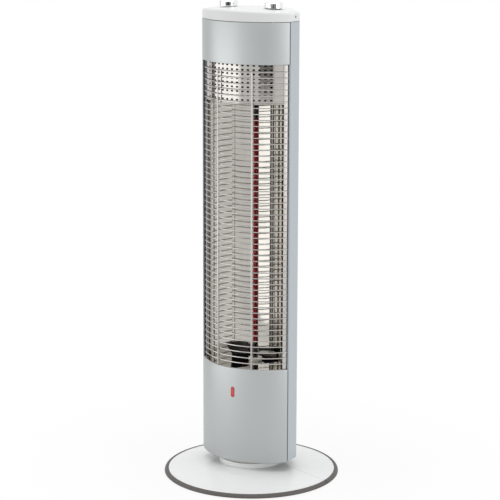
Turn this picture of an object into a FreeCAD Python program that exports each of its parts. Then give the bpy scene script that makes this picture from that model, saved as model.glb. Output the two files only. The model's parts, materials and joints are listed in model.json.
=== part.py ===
import FreeCAD, Part
import math
import os

# Graphite tower heater. Millimetres, +Z up, origin on the floor under the swing axis.
# The window faces -Y, and +X is on the right of someone who looks at it.

V = FreeCAD.Vector
UP = V(0, 0, 1)
DOWN = V(0, 0, -1)
RIGHT = V(1, 0, 0)
LEFT = V(-1, 0, 0)
BACK = V(0, 1, 0)
FORWARD = V(0, -1, 0)

# General fits
seat = 0.1             # gap between pieces that are fastened together
running = 0.05         # radial clearance of a turning or sliding pin
clear = 0.3            # gap between pieces that move past each other
sheet_gap = 0.2        # gap between folded sheets that lie on each other

# Base
base_radius = 147.0    # outside of the soft edging
trim_width = 6.6       # edging, seen from above
trim_low = 1.0         # underside of the edging above the floor
trim_height = 6.0
trim_bevel = 0.8
trim_lip = 1.4         # flat on top of the edging
base_seam = 0.5        # gap between the front and rear halves
cover_wall = 2.5
cover_low = 1.2        # lower edge of the cover's rim above the floor
rim_step = 0.4         # cover's rim below the top of the edging
cover_top = 21.0       # land that the neck stands on
cover_bulge = 1.0      # rise of the cover above a plain cone
land_margin = 1.5      # land outside the neck
foot_height = 2.0
foot_radius = 8.0
foot_inset = 20.4      # middle of a foot inside the cover's rim
foot_count = 6
plate_thick = 1.2
plate_gap = 0.4
weight_inset = 26.4    # ballast ring inside the cover's rim
weight_gap = 7.5       # ballast ring outside the neck
weight_height = 5.0
boss_inset = 14.4      # middle of a boss inside the cover's rim
boss_radius = 4.0
boss_count = 6
boss_start = 30.0      # degrees from +X

# Neck and swivel
neck_radius = 54.5
neck_wall = 5.0
neck_height = 8.5
neck_round = 1.5
neck_screw_count = 4
neck_screw_start = 45.0
slip_height = 3.0
slip_inset = 0.2       # slip ring outside the neck's bore
slip_width = 2.3
rib_height = 2.2       # column's rib that glides on the slip ring
hub_radius = 9.5
hub_wall = 3.5
hub_floor_gap = 2.8    # hub above the bottom plate
hub_flange_width = 12.5
hub_flange_thick = 1.6
hub_screw_count = 3
hub_screw_start = 60.0
bush_wall = 2.0
bush_collar = 3.0      # width of the bush's top collar
bush_collar_thick = 1.5
washer_width = 5.5
washer_thick = 1.5
circlip_thick = 1.2
circlip_depth = 1.0
circlip_width = 3.4
socket_wall = 3.4
socket_flange_width = 5.0
socket_flange_thick = 2.5
socket_cavity_height = 8.8
socket_below_neck = 4.5

# Swing drive
shaft_gap = 7.5        # motor shaft's middle outside the hub's flange
shaft_radius = 3.0
shaft_hole_gap = 0.6
crank_tip_gap = 0.7    # crank's tip inside the slip ring
crank_thick = 3.5
crank_gap = 0.4        # crank below the hub's flange
crank_eye = 4.5        # radius of the crank's two ends
pin_radius = 2.5
pin_length = 6.0
fork_slack = 1.3       # free play of the crank pin on each side in the fork
fork_thick = 2.0
fork_half = 7.5
fork_leg_gap = 1.0     # fork's leg outside the socket's flange
fork_end_gap = 2.0     # fork's end inside the neck
fork_foot = 17.0
fork_drop = 2.5        # fork below the crank
fork_screw_out = 11.0  # fork's screws from its leg
fork_screw_half = 4.1
motor_radius = 21.0
motor_shaft_edge = 8.5  # shaft's middle inside the motor's rim
motor_height = 21.0
motor_plate = 1.0
motor_ear_out = 6.0    # ear's screw outside the motor's rim
motor_ear_radius = 5.0
motor_bore_depth = 8.5

# Tip-over switch
tip_gap = 5.0          # switch outside the socket's flange
tip_wall = 1.5
tip_half_y = 11.0
tip_height = 16.3
tip_travel = 3.5
tip_foot_radius = 4.9
tip_flange = 1.0
tip_flange_width = 1.0
tip_stem_radius = 2.45
tip_stem = 8.0

# Column plan
half_width = 83.0
front_radius = 106.0
front_reach = 61.0     # front face ahead of the swing axis
side_depth = 29.0
rear_radius = 97.0
rear_round = 12.0      # rounding between side and back
wall = 2.0
seam_gap = 1.2         # dark joint between front panels and rear cover

# Column heights
floor_thick = 2.5
panel_drop = 1.0       # front panel below the column's floor
rear_raise = 1.5       # rear cover's lower edge above the front panel's
lower_panel = 159.5
window = 501.5
upper_panel = 67.3
cap_gap = 0.7
cap_height = 19.0
crown_radius = 860.0   # gentle crown of the top cap
cap_round = 5.0
cap_corner = 6.0
lip_depth = 3.0        # inward lips of the panels at the window
lip_thick = 2.0
lip_end_gap = 0.3

# Frame rails and brackets
rail_thick = 1.2
rail_setback = 5.0     # rail's front edge behind the seam
rail_depth = 22.0
rail_flange = 7.5
rail_above_screw = 4.2
rail_screw_front = 5.0
rail_screw_back = 7.0
flange_lap = 6.0       # front pieces' flanges over the rail
panel_screw_edge = 3.0
panel_screw_end = 14.0  # panel's screws from its window lip and its far end
lower_screw_end = 24.0
bracket_thick = 1.2
bracket_flange = 14.0
bracket_space = 2.0    # between the panels' flanges and the brackets'
bracket_behind = 22.0  # tube brackets behind the tube's middle
bracket_screw_half = 3.0
control_drop = 13.2    # control bracket below the panels' top
control_margin = 5.0   # control bracket around the switches

# Guard
wire_radius = 0.9
wire_pitch = 9.6
wire_top_drop = 11.6   # first cross wire below the window's top
wire_end_gap = 5.0     # least space between the last wire and the lower panel
wire_inset = 3.4       # cross wires behind the panels' face
upright_radius = 1.2
upright_angle = 17.8   # degrees from the front
strip_thick = 1.0
strip_width = 8.2

# Perforated plate
perf_below = 63.0      # plate's lower edge below the window's top
perf_above = 9.0
perf_end_gap = 1.1     # plate's ends inside the panels' flanges
perf_thick = 0.8
perf_lip = 6.0
perf_columns = 14
perf_step_angle = 5.4
perf_step = 6.9
perf_hole_width = 4.6
perf_hole_height = 3.0
perf_first_row = 6.2   # lowest row above the plate's lower edge
perf_margin = 5.0      # least space above the highest row

# Reflector
sheet = 0.6
wing_gap = 2.5         # wings' front edges behind the panels' flanges
wing_edge = 4.8        # wings' front edges inside their side flanges
wing_flange = 9.5
wing_depth = 19.5      # creases behind the wings' front edges
crease_x = 46.0
trough_depth = 19.0    # trough behind the creases
trough_overlap = 8.0
floor_mouth = 5.0      # half the opening between the floor plates, at the front
reflector_raise = 2.0  # wings above the lower bracket
reflector_top_drop = 9.0

# Heater tube
tube_radius = 5.0
tube_wall = 0.7
element_radius = 4.0
terminal_radius = 3.4
lower_terminal = 40.0
upper_terminal = 51.0
ceramic_wall = 6.4
ceramic_length = 22.0
ceramic_socket = 12.0
ceramic_groove = 0.8
ceramic_band = 3.0
lower_bracket_drop = 19.5   # lower bracket's top below the window's bottom
upper_bracket_drop = 34.0   # upper bracket's underside below the window's top
sleeve_radius = 2.4
sleeve_run = 2.0
sleeve_bend = 6.0
sleeve_past = 8.0
sleeve_rise = 12.5     # sleeve's start above the bracket

# Knobs and switches
knob_x = 42.3
knob_y = -5.0
knob_radius = 15.0
knob_height = 8.8
knob_gap = 0.2
knob_edge = 0.8
knob_rib_width = 9.0
knob_rib_proud = 0.9
knob_pointing = 30.0   # degrees from the front towards +X
knob_recess = 4.5
knob_rim = 2.0
stem_radius = 3.0
stem_into_knob = 6.0
stem_into_switch = 12.0
switch_half = 14.0
switch_height = 22.0
switch_bush_wall = 1.6
switch_bush_height = 8.0
tag_thick = 2.0
tag_width = 6.0
tag_length = 6.0

# Small pieces
lens_half_width = 3.2
lens_height = 17.6
lens_proud = 0.5
lens_drop = 40.5       # lens's middle below the window's bottom
lens_flange = 2.0
lens_flange_thick = 1.0
lamp_radius = 2.8
lamp_length = 12.0
gland_bore = 3.6
gland_wall = 2.9
gland_flange = 2.5     # gland's flange outside its body
gland_flange_thick = 3.0
gland_tail = 6.0
gland_z = 28.0         # above the column's bottom
cutout_x = -40.0
cutout_radius = 8.0
cutout_height = 9.0
block_gap = 1.5        # terminal block beside the hub's screws
block_y = 8.0
block_length = 44.0
block_depth = 16.0
block_height = 13.0
block_poles = 4
block_slot = 1.4
block_slot_depth = 5.0

# Vent slots in the rear cover
vent_width = 34.0
vent_height = 4.0
vent_pitch = 8.0
vent_rows = 7
vent_inner = 9.0         # slots start this far from the middle
upper_vent_drop = 66.0   # lowest upper slot below the panels' top
lower_vent_raise = 52.0  # lowest lower slot above the column's bottom

# Screws
screw_radius = 1.4
screw_gap = 0.2
screw_head = 2.8
screw_head_height = 1.4
cap_screw_head = 2.3
cap_screw_recess = 1.2
cap_screw_drop = 12.2    # cap's side screws below its crown
rear_screw_low = 46.0    # lowest rear screws above the column's bottom
rear_screw_drop = 42.0   # highest rear screws below the panels' top
rear_boss_wall = 1.1
rear_pocket_floor = 3.6

# Base sizes that follow
screw_hole = screw_radius + screw_gap
trim_top = trim_low + trim_height
rim_radius = base_radius - trim_width
rim_top = trim_top - rim_step
plate_top = foot_height + plate_thick
boss_circle = rim_radius - boss_inset
neck_bore = neck_radius - neck_wall
slip_inner = neck_bore + slip_inset
slip_outer = slip_inner + slip_width
hub_low = plate_top + hub_floor_gap
hub_flange_radius = hub_radius + hub_flange_width
bush_outer = hub_radius + running + bush_wall
washer_radius = hub_radius + washer_width
socket_cavity = washer_radius + 2 * clear
socket_cavity_top = plate_top + socket_cavity_height
socket_flange = socket_cavity + socket_wall + socket_flange_width
washer_top = socket_cavity_top - clear
circlip_top = washer_top - washer_thick
tip_cavity = tip_foot_radius + tip_flange_width + clear
tip_half_x = tip_cavity + tip_wall
tip_x = -(socket_flange + tip_gap + tip_half_x)
tip_flange_low = plate_top + clear + tip_travel
tip_flange_top = tip_flange_low + tip_flange

# Heights that follow
neck_top = cover_top + neck_height
socket_top = neck_top - socket_below_neck
slip_top = neck_top + slip_height
rib_low = slip_top + clear
floor_low = rib_low + rib_height
floor_top = floor_low + floor_thick
column_bottom = floor_low - panel_drop
window_bottom = column_bottom + lower_panel
window_top = window_bottom + window
panel_top = window_top + upper_panel
cap_bottom = panel_top + cap_gap
crown_top = cap_bottom + cap_height
knob_low = crown_top + knob_gap
knob_top = knob_low + knob_height
lower_bracket_top = window_bottom - lower_bracket_drop
upper_bracket_low = window_top - upper_bracket_drop
control_low = panel_top - control_drop - bracket_thick
cap_screw_z = crown_top - cap_screw_drop
rail_top = cap_screw_z + rail_above_screw
reflector_top = upper_bracket_low - reflector_top_drop
tube_low = lower_bracket_top + ceramic_length - ceramic_socket
tube_high = upper_bracket_low - ceramic_length + ceramic_socket
top_wire = window_top - wire_top_drop
lens_z = window_bottom - lens_drop

# Swing drive that follows
crank_offset = hub_flange_radius + shaft_gap
crank_throw = slip_inner - crank_tip_gap - crank_eye - crank_offset
hub_flange_low = floor_low - hub_flange_thick
crank_top = hub_flange_low - crank_gap
crank_low = crank_top - crank_thick
fork_top = crank_low - fork_drop
fork_leg = socket_flange + fork_leg_gap
fork_reach = neck_bore - fork_end_gap
motor_x = crank_offset + motor_radius - motor_shaft_edge

# Plan places that follow
front_centre = front_radius - front_reach
seam_y = front_centre - math.sqrt(front_radius ** 2 - half_width ** 2)
seam_angle = math.degrees(math.asin(half_width / front_radius))
corner_y = seam_y + side_depth
rear_centre = corner_y - math.sqrt(rear_radius ** 2 - half_width ** 2)
rear_reach = rear_centre + rear_radius
rail_outer = half_width - wall - clear
rail_inner = rail_outer - rail_thick
rail_front = seam_y + rail_setback
rail_back = rail_front + rail_depth
flange_outer = rail_inner - sheet_gap
flange_inner = flange_outer - wall
flange_back = rail_front + flange_lap
bracket_inner = flange_outer - bracket_thick
bracket_front = flange_back + bracket_space
bracket_end_back = rail_back - rail_thick - clear
wing_edge_x = flange_outer - wing_edge
wing_edge_y = flange_back + wing_gap
crease_y = wing_edge_y + wing_depth
tube_y = crease_y
ceramic_radius = tube_radius + seat + ceramic_wall
sleeve_x = ceramic_radius + seat + sleeve_run + sleeve_bend

# Guard and plate places that follow
wire_circle = front_radius - wire_inset
wire_half_angle = math.degrees(math.asin((rail_outer - wire_radius) / wire_circle))
wire_count = int((top_wire - window_bottom - wire_end_gap) / wire_pitch) + 1
upright_circle = wire_circle + wire_radius + upright_radius + running
strip_outer = wire_circle - wire_radius - seat
strip_inner = strip_outer - strip_thick
strip_end = math.degrees(math.asin(flange_outer / strip_outer))
strip_start = strip_end - math.degrees(strip_width / strip_outer)
perf_outer = strip_inner - seat
perf_half_angle = math.degrees(math.asin((flange_inner - perf_end_gap) / perf_outer))
perf_rows = int((perf_below + perf_above - perf_first_row - perf_margin) / perf_step) + 1


def flat(x, y):
    return V(x, y, 0)


def upright(radius, z):
    return V(radius, 0, z)


def edges_of(place, steps):
    # Each step is a point, or a pair (through, end) for an arc
    at = place(*steps[0])
    edges = []
    for step in steps[1:]:
        if isinstance(step[0], tuple):
            end = place(*step[1])
            edges.append(Part.Arc(at, place(*step[0]), end).toShape())
        else:
            end = place(*step)
            edges.append(Part.LineSegment(at, end).toShape())
        at = end
    return edges


def closed_face(place, *steps):
    return Part.Face(Part.Wire(edges_of(place, list(steps) + [steps[0]])))


def turned(*steps):
    return closed_face(upright, *steps).revolve(V(0, 0, 0), UP, 360)


def raised(face, z0, z1):
    lifted = face.copy()
    lifted.translate(V(0, 0, z0))
    return lifted.extrude(V(0, 0, z1 - z0))


def box(x0, x1, y0, y1, z0, z1):
    return Part.makeBox(x1 - x0, y1 - y0, z1 - z0, V(x0, y0, z0))


def rod(radius, start, end):
    return Part.makeCylinder(radius, (end - start).Length, start, end - start)


def ring(outer, inner, z0, z1, x=0.0, y=0.0):
    whole = rod(outer, V(x, y, z0), V(x, y, z1))
    return whole.cut(rod(inner, V(x, y, z0), V(x, y, z1)))


def mirrored(shape):
    return shape.mirror(V(0, 0, 0), RIGHT)


def both_sides(shape):
    return [shape, mirrored(shape)]


def around(count, circle, start_angle, z):
    # Places evenly spaced on a circle about the swing axis
    angles = [math.radians(start_angle + 360.0 * k / count) for k in range(count)]
    return [V(circle * math.cos(a), circle * math.sin(a), z) for a in angles]


def screw(seat_at, along, grip, head=screw_head, head_height=screw_head_height):
    # The head's underside is at seat_at and the shank runs the length of the grip
    shank = rod(screw_radius, seat_at - along * (head_height / 2), seat_at + along * grip)
    return shank.fuse(rod(head, seat_at - along * head_height, seat_at)).removeSplitter()


def drilled(shape, places, along, length, radius=screw_hole):
    for at in places:
        shape = shape.cut(rod(radius, at - along * length, at + along * length))
    return shape


def on_arc(radius, angle):
    # Point of the front arc, at an angle from straight ahead towards +X
    a = math.radians(angle)
    return (radius * math.sin(a), front_centre - radius * math.cos(a))


def arc_wall(outer, inner, first, last, z0, z1):
    middle = (first + last) / 2
    face = closed_face(
        flat,
        on_arc(outer, first),
        (on_arc(outer, middle), on_arc(outer, last)),
        on_arc(inner, last),
        (on_arc(inner, middle), on_arc(inner, first)))
    return raised(face, z0, z1)


def plan(inset, z0, z1, corner=0.0):
    # The column's outline moved in by a wall, as an upright prism with rounded rear corners
    half = half_width - inset
    front = front_radius - inset
    rear = rear_radius - inset
    y_front = front_centre - math.sqrt(front ** 2 - half ** 2)
    y_rear = rear_centre + math.sqrt(rear ** 2 - half ** 2)
    face = closed_face(
        flat,
        (-half, y_front),
        ((0.0, front_centre - front), (half, y_front)),
        (half, y_rear),
        ((0.0, rear_centre + rear), (-half, y_rear)))
    prism = raised(face, z0, z1)
    uprights = [e for e in prism.Edges if e.BoundBox.ZLength > (z1 - z0) / 2]
    rear_edges = [e for e in uprights if abs(e.BoundBox.YMin - y_rear) < running]
    prism = prism.makeFillet(rear_round - inset, rear_edges)
    if corner:
        uprights = [e for e in prism.Edges if e.BoundBox.ZLength > (z1 - z0) / 2]
        seam_edges = [e for e in uprights if abs(e.BoundBox.YMin - y_front) < running]
        prism = prism.makeFillet(corner - inset, seam_edges)
    return prism


def folded(z0, z1, thick, *steps):
    # Sheet of even thickness along an open path of runs and arcs
    path = Part.Wire(edges_of(flat, steps))
    return raised(path.makeOffset2D(thick, 2, True, True), z0, z1)


def front_half(shape):
    reach = base_radius + cover_wall
    return shape.common(box(-reach, reach, -reach, -base_seam / 2, 0, cover_top + neck_height))


def rear_half(shape):
    return front_half(shape.mirror(V(0, 0, 0), BACK)).mirror(V(0, 0, 0), BACK)


# Places of the fasteners, used by the screws and by the pieces that they hold
boss_places = around(boss_count, boss_circle, boss_start, foot_height)
neck_places = around(neck_screw_count, neck_radius - neck_wall / 2, neck_screw_start, cover_top - cover_wall)
hub_screw_circle = (hub_radius + hub_flange_radius) / 2
hub_places = around(hub_screw_count, hub_screw_circle, hub_screw_start, floor_top)
socket_circle = socket_flange - socket_flange_width / 2
socket_places = around(hub_screw_count, socket_circle, hub_screw_start, foot_height)
fork_places = [V(fork_leg + fork_screw_out, s * fork_screw_half, foot_height) for s in (-1, 1)]
motor_ear = motor_radius + motor_ear_out
motor_places = [V(motor_x, s * motor_ear, floor_top + motor_plate) for s in (-1, 1)]
rail_foot_x = rail_inner - rail_flange / 2
rail_screw_ys = (rail_front + rail_screw_front, rail_back - rail_screw_back)
rail_places = [V(rail_foot_x, y, floor_top + rail_thick) for y in rail_screw_ys]
panel_screw_heights = (
    column_bottom + lower_screw_end,
    window_bottom - lower_screw_end,
    window_top + panel_screw_end,
    panel_top - panel_screw_end)
panel_places = [V(flange_inner, flange_back - panel_screw_edge, z) for z in panel_screw_heights]
bracket_screw_heights = (
    lower_bracket_top - bracket_thick - bracket_flange / 2,
    upper_bracket_low + bracket_thick + bracket_flange / 2,
    control_low + bracket_thick - bracket_flange / 2)
bracket_screw_y = (bracket_front + bracket_end_back) / 2
bracket_places = [V(bracket_inner, bracket_screw_y + s * bracket_screw_half, z)
                  for z in bracket_screw_heights for s in (-1, 1)]
cap_place = V(half_width - cap_screw_recess, (rail_front + rail_back) / 2, cap_screw_z)
rear_screw_seat = rail_back + sheet_gap + rear_pocket_floor
rear_head_pocket = screw_head + 2 * clear
rear_boss_radius = rear_head_pocket + rear_boss_wall
lowest_rear_screw = column_bottom + rear_screw_low
highest_rear_screw = panel_top - rear_screw_drop
rear_screw_heights = (
    lowest_rear_screw, (lowest_rear_screw + highest_rear_screw) / 2, highest_rear_screw)
rear_places = [V(rail_foot_x, rear_screw_seat, z) for z in rear_screw_heights]


# Base pieces

def cover_height(radius):
    along = (rim_radius - radius) / (rim_radius - neck_radius - land_margin)
    return rim_top + (cover_top - rim_top) * along + 4 * cover_bulge * along * (1 - along)


def base_cover():
    land = neck_radius + land_margin
    middle = (rim_radius + land) / 2
    rim_inner = rim_radius - cover_wall
    shell = turned(
        (rim_radius, cover_low),
        (rim_radius, rim_top),
        ((middle, cover_height(middle)), (land, cover_top)),
        (neck_bore, cover_top),
        (neck_bore, cover_top - cover_wall),
        (land, cover_top - cover_wall),
        ((middle, cover_height(middle) - cover_wall), (rim_inner, rim_top - cover_wall)),
        (rim_inner, cover_low))
    boss_top = cover_height(boss_circle + boss_radius) - cover_wall / 2
    for at in boss_places:
        shell = shell.fuse(rod(boss_radius, V(at.x, at.y, plate_top), V(at.x, at.y, boss_top)))
    pilot_top = boss_top - cover_wall / 2
    for at in boss_places:
        shell = shell.cut(rod(screw_hole, V(at.x, at.y, plate_top), V(at.x, at.y, pilot_top)))
    return drilled(shell, neck_places, UP, 2 * cover_wall)


def edge_trim():
    lip = rim_radius + trim_lip
    bend = trim_low + trim_bevel
    half_root = math.sqrt(0.5)
    through = (lip + (base_radius - lip) * half_root, bend + (trim_top - bend) * half_root)
    return turned(
        (rim_radius + seat, trim_low),
        (base_radius - trim_bevel, trim_low),
        (base_radius, bend),
        (through, (lip, trim_top)),
        (rim_radius + seat, trim_top))


def base_bottom_plate():
    disc = rod(rim_radius - cover_wall - plate_gap, V(0, 0, foot_height), V(0, 0, plate_top))
    disc = drilled(disc, boss_places + socket_places + fork_places, UP, 2 * plate_thick)
    return disc.cut(rod(tip_foot_radius + clear, V(tip_x, 0, 0), V(tip_x, 0, plate_top)))


def base_feet():
    pads = [rod(foot_radius, at, at + UP * foot_height)
            for at in around(foot_count, rim_radius - foot_inset, 0.0, 0.0)]
    return Part.makeCompound(pads)


def base_screws():
    boss_grip = cover_height(boss_circle + boss_radius) - cover_wall - foot_height - clear
    screws = [screw(at, UP, boss_grip) for at in boss_places]
    screws += [screw(at, UP, plate_thick + socket_flange_thick) for at in socket_places]
    screws += [screw(at, UP, plate_thick + fork_thick) for at in fork_places]
    screws += [screw(at, UP, cover_wall + neck_height - 2 * neck_round) for at in neck_places]
    return Part.makeCompound(screws)


def base_weight():
    return ring(rim_radius - weight_inset, neck_radius + weight_gap, plate_top, plate_top + weight_height)


def neck_ring():
    half_root = math.sqrt(0.5)
    shoulder = neck_radius - neck_round
    bend = neck_top - neck_round
    body = turned(
        (neck_bore, cover_top),
        (neck_radius, cover_top),
        (neck_radius, bend),
        ((shoulder + neck_round * half_root, bend + neck_round * half_root), (shoulder, neck_top)),
        (neck_bore, neck_top))
    pilots = [rod(screw_hole, V(at.x, at.y, cover_top), V(at.x, at.y, neck_top - neck_round))
              for at in neck_places]
    return body.cut(Part.makeCompound(pilots))


def slip_ring():
    return ring(slip_outer, slip_inner, neck_top, slip_top)


def swivel_socket():
    bore = bush_outer + seat
    outer = socket_cavity + socket_wall
    body = turned(
        (socket_cavity, plate_top),
        (socket_flange, plate_top),
        (socket_flange, plate_top + socket_flange_thick),
        (outer, plate_top + socket_flange_thick),
        (outer, socket_cavity_top + socket_wall),
        (bore + socket_wall, socket_cavity_top + socket_wall),
        (bore + socket_wall, socket_top),
        (bore, socket_top),
        (bore, socket_cavity_top),
        (socket_cavity, socket_cavity_top))
    return drilled(body, socket_places, UP, plate_thick + 2 * socket_flange_thick)


def hub_bush():
    inner = hub_radius + running
    collar = bush_outer + bush_collar
    return turned(
        (inner, socket_cavity_top),
        (bush_outer, socket_cavity_top),
        (bush_outer, socket_top),
        (collar, socket_top),
        (collar, socket_top + bush_collar_thick),
        (inner, socket_top + bush_collar_thick))


def swing_fork():
    low = fork_top - fork_thick
    plate = box(fork_leg, fork_reach, -fork_half, fork_half, low, fork_top)
    slot = pin_radius + fork_slack
    nearest = math.hypot(crank_offset, crank_throw) - slot
    plate = plate.cut(box(nearest, fork_reach, -slot, slot, low, fork_top))
    leg = box(fork_leg, fork_leg + fork_thick, -fork_half, fork_half, plate_top, fork_top)
    foot = box(fork_leg, fork_leg + fork_foot, -fork_half, fork_half, plate_top, plate_top + fork_thick)
    body = plate.fuse([leg, foot]).removeSplitter()
    return drilled(body, fork_places, UP, plate_thick + fork_thick)


def tip_switch():
    top = plate_top + tip_height
    body = box(tip_x - tip_half_x, tip_x + tip_half_x, -tip_half_y, tip_half_y, plate_top, top)
    cavity_top = tip_flange_top + clear
    body = body.cut(rod(tip_cavity, V(tip_x, 0, plate_top), V(tip_x, 0, cavity_top)))
    stem_top = tip_flange_top + tip_stem + clear
    return body.cut(rod(tip_stem_radius + running, V(tip_x, 0, plate_top), V(tip_x, 0, stem_top)))


def tip_plunger():
    foot = rod(tip_foot_radius, V(tip_x, 0, 0), V(tip_x, 0, tip_flange_low))
    flange_radius = tip_foot_radius + tip_flange_width
    flange = rod(flange_radius, V(tip_x, 0, tip_flange_low), V(tip_x, 0, tip_flange_top))
    stem = rod(tip_stem_radius, V(tip_x, 0, tip_flange_top), V(tip_x, 0, tip_flange_top + tip_stem))
    return foot.fuse([flange, stem]).removeSplitter()


# Swivel and swing drive, on the column's side

def hub_tube():
    groove_top = circlip_top + running
    groove_low = circlip_top - circlip_thick - running
    hub_bore = hub_radius - hub_wall
    body = turned(
        (hub_bore, hub_low),
        (hub_radius, hub_low),
        (hub_radius, groove_low),
        (hub_radius - circlip_depth, groove_low),
        (hub_radius - circlip_depth, groove_top),
        (hub_radius, groove_top),
        (hub_radius, hub_flange_low),
        (hub_flange_radius, hub_flange_low),
        (hub_flange_radius, floor_low),
        (hub_radius, floor_low),
        (hub_radius, floor_top),
        (hub_bore, floor_top))
    return drilled(body, hub_places, UP, floor_thick + hub_flange_thick)


def thrust_washer():
    return ring(washer_radius, hub_radius + seat, circlip_top, washer_top)


def hub_circlip():
    inner = hub_radius - circlip_depth + seat
    whole = ring(inner + circlip_width, inner, circlip_top - circlip_thick, circlip_top)
    gap = 2 * circlip_width
    return whole.cut(box(0, hub_radius + gap, -gap / 2, gap / 2, hub_low, circlip_top))


def column_floor():
    plate = plan(wall + plate_gap, floor_low, floor_top)
    plate = plate.fuse(ring(slip_outer, slip_inner, rib_low, floor_low)).removeSplitter()
    plate = plate.cut(rod(hub_radius + seat, V(0, 0, floor_low), V(0, 0, floor_top)))
    shaft_hole = shaft_radius + shaft_hole_gap
    plate = plate.cut(rod(shaft_hole, V(crank_offset, 0, floor_low), V(crank_offset, 0, floor_top)))
    feet = rail_places + [V(-at.x, at.y, at.z) for at in rail_places]
    return drilled(plate, hub_places + motor_places + feet, UP, 2 * floor_thick)


def floor_screws():
    screws = [screw(at, DOWN, floor_thick + hub_flange_thick) for at in hub_places]
    screws += [screw(at, DOWN, motor_plate + floor_thick) for at in motor_places]
    for at in rail_places:
        screws += both_sides(screw(at, DOWN, rail_thick + floor_thick))
    return Part.makeCompound(screws)


def swing_motor():
    can_low = floor_top + motor_plate
    can = rod(motor_radius, V(motor_x, 0, can_low), V(motor_x, 0, can_low + motor_height))
    base = rod(motor_radius, V(motor_x, 0, floor_top), V(motor_x, 0, can_low))
    strap = box(motor_x - motor_ear_radius, motor_x + motor_ear_radius,
                -motor_ear, motor_ear, floor_top, can_low)
    ears = [rod(motor_ear_radius, V(at.x, at.y, floor_top), at) for at in motor_places]
    body = can.fuse([base, strap] + ears).removeSplitter()
    bore = rod(shaft_radius + running, V(crank_offset, 0, floor_top),
               V(crank_offset, 0, floor_top + motor_bore_depth))
    return drilled(body.cut(bore), motor_places, UP, 2 * motor_plate)


def motor_shaft():
    top = floor_top + motor_bore_depth - clear
    return rod(shaft_radius, V(crank_offset, 0, crank_low), V(crank_offset, 0, top))


def swing_crank():
    far = crank_offset + crank_throw
    ends = [rod(crank_eye, V(x, 0, crank_low), V(x, 0, crank_top)) for x in (crank_offset, far)]
    web = box(crank_offset, far, -crank_eye, crank_eye, crank_low, crank_top)
    pin = rod(pin_radius, V(far, 0, crank_low - pin_length), V(far, 0, crank_top))
    body = web.fuse(ends + [pin]).removeSplitter()
    eye = V(crank_offset, 0, crank_low)
    return body.cut(rod(shaft_radius + running, eye, eye + UP * crank_thick))


# Column shell

def rear_cover():
    low = column_bottom + rear_raise
    shell = plan(0.0, low, panel_top).cut(plan(wall, low, panel_top))
    shell = shell.cut(box(-half_width, half_width, -front_reach, seam_y + seam_gap / 2, low, panel_top))
    for at in rear_places + [V(-p.x, p.y, p.z) for p in rear_places]:
        foot = V(at.x, rail_back + sheet_gap, at.z)
        far = V(at.x, rear_reach, at.z)
        boss = rod(rear_boss_radius, foot, far).common(plan(wall / 2, low, panel_top))
        shell = shell.fuse(boss).cut(rod(rear_head_pocket, at, far)).cut(rod(screw_hole, foot, far))
    shell = shell.cut(Part.makeCompound(vent_slots()))
    middle = V(0, rear_reach, column_bottom + gland_z)
    return drilled(shell, [middle], BACK, 2 * wall, gland_bore + gland_wall + seat)


def vent_slots():
    starts = [panel_top - upper_vent_drop, column_bottom + lower_vent_raise]
    slots = []
    for z in [start + vent_pitch * row for start in starts for row in range(vent_rows)]:
        half = vent_height / 2
        first = vent_inner + half
        last = vent_inner + vent_width - half
        run = box(first, last, corner_y, rear_reach + wall, z - half, z + half)
        ends = [rod(half, V(x, corner_y, z), V(x, rear_reach + wall, z)) for x in (first, last)]
        slots += both_sides(run.fuse(ends).removeSplitter())
    return slots


def rear_cover_screws():
    grip = rear_pocket_floor + sheet_gap + rail_thick + clear
    screws = [both_sides(screw(at, FORWARD, grip)) for at in rear_places]
    return Part.makeCompound(sum(screws, []))


def side_flange(z0, z1, thick):
    # Flat return of a front piece, inside the rail, cut to the back of the panels' arc
    start = front_centre - front_radius
    flange = box(flange_outer - thick, flange_outer, start, flange_back, z0, z1)
    inside = rod(front_radius - wall / 2, V(0, front_centre, z0), V(0, front_centre, z1))
    return flange.common(inside)


def front_panel(z0, z1, lip_low, flange_low):
    body = arc_wall(front_radius, front_radius - wall, -seam_angle, seam_angle, z0, z1)
    body = body.common(box(-half_width, half_width, -front_reach, seam_y - seam_gap / 2, z0, z1))
    lip_span = math.degrees(math.asin((flange_inner - lip_end_gap) / front_radius))
    lip = arc_wall(front_radius - wall / 2, front_radius - wall - lip_depth, -lip_span, lip_span,
                   lip_low, lip_low + lip_thick)
    body = body.fuse([lip] + both_sides(side_flange(flange_low, z1 - lip_thick, wall))).removeSplitter()
    holes = [V(s * at.x, at.y, at.z) for at in panel_places for s in (-1, 1)]
    return drilled(body, holes, RIGHT, 2 * wall)


def upper_front_panel():
    return front_panel(window_top, panel_top, window_top, window_top + lip_thick)


def lens_shape(grow, y0, y1):
    half = lens_half_width + grow
    rise = lens_height / 2 - lens_half_width
    body = box(-half, half, y0, y1, lens_z - rise, lens_z + rise)
    ends = [rod(half, V(0, y0, lens_z + s * rise), V(0, y1, lens_z + s * rise)) for s in (-1, 1)]
    return body.fuse(ends).removeSplitter()


def lower_front_panel():
    above_feet = floor_top + rail_thick + screw_head_height + clear
    body = front_panel(column_bottom, window_bottom, window_bottom - lip_thick, above_feet)
    return body.cut(lens_shape(seat, -front_reach - wall, -front_reach + 2 * wall))


def pilot_lamp():
    # Red lens with a flange behind the panel and the lamp's body on its back
    behind = -front_reach + wall + sheet_gap
    lens = lens_shape(0.0, -front_reach - lens_proud, behind)
    flange = lens_shape(lens_flange, behind, behind + lens_flange_thick)
    stub = rod(lamp_radius, V(0, behind, lens_z), V(0, behind + lamp_length, lens_z))
    return lens.fuse([flange, stub]).removeSplitter()


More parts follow.
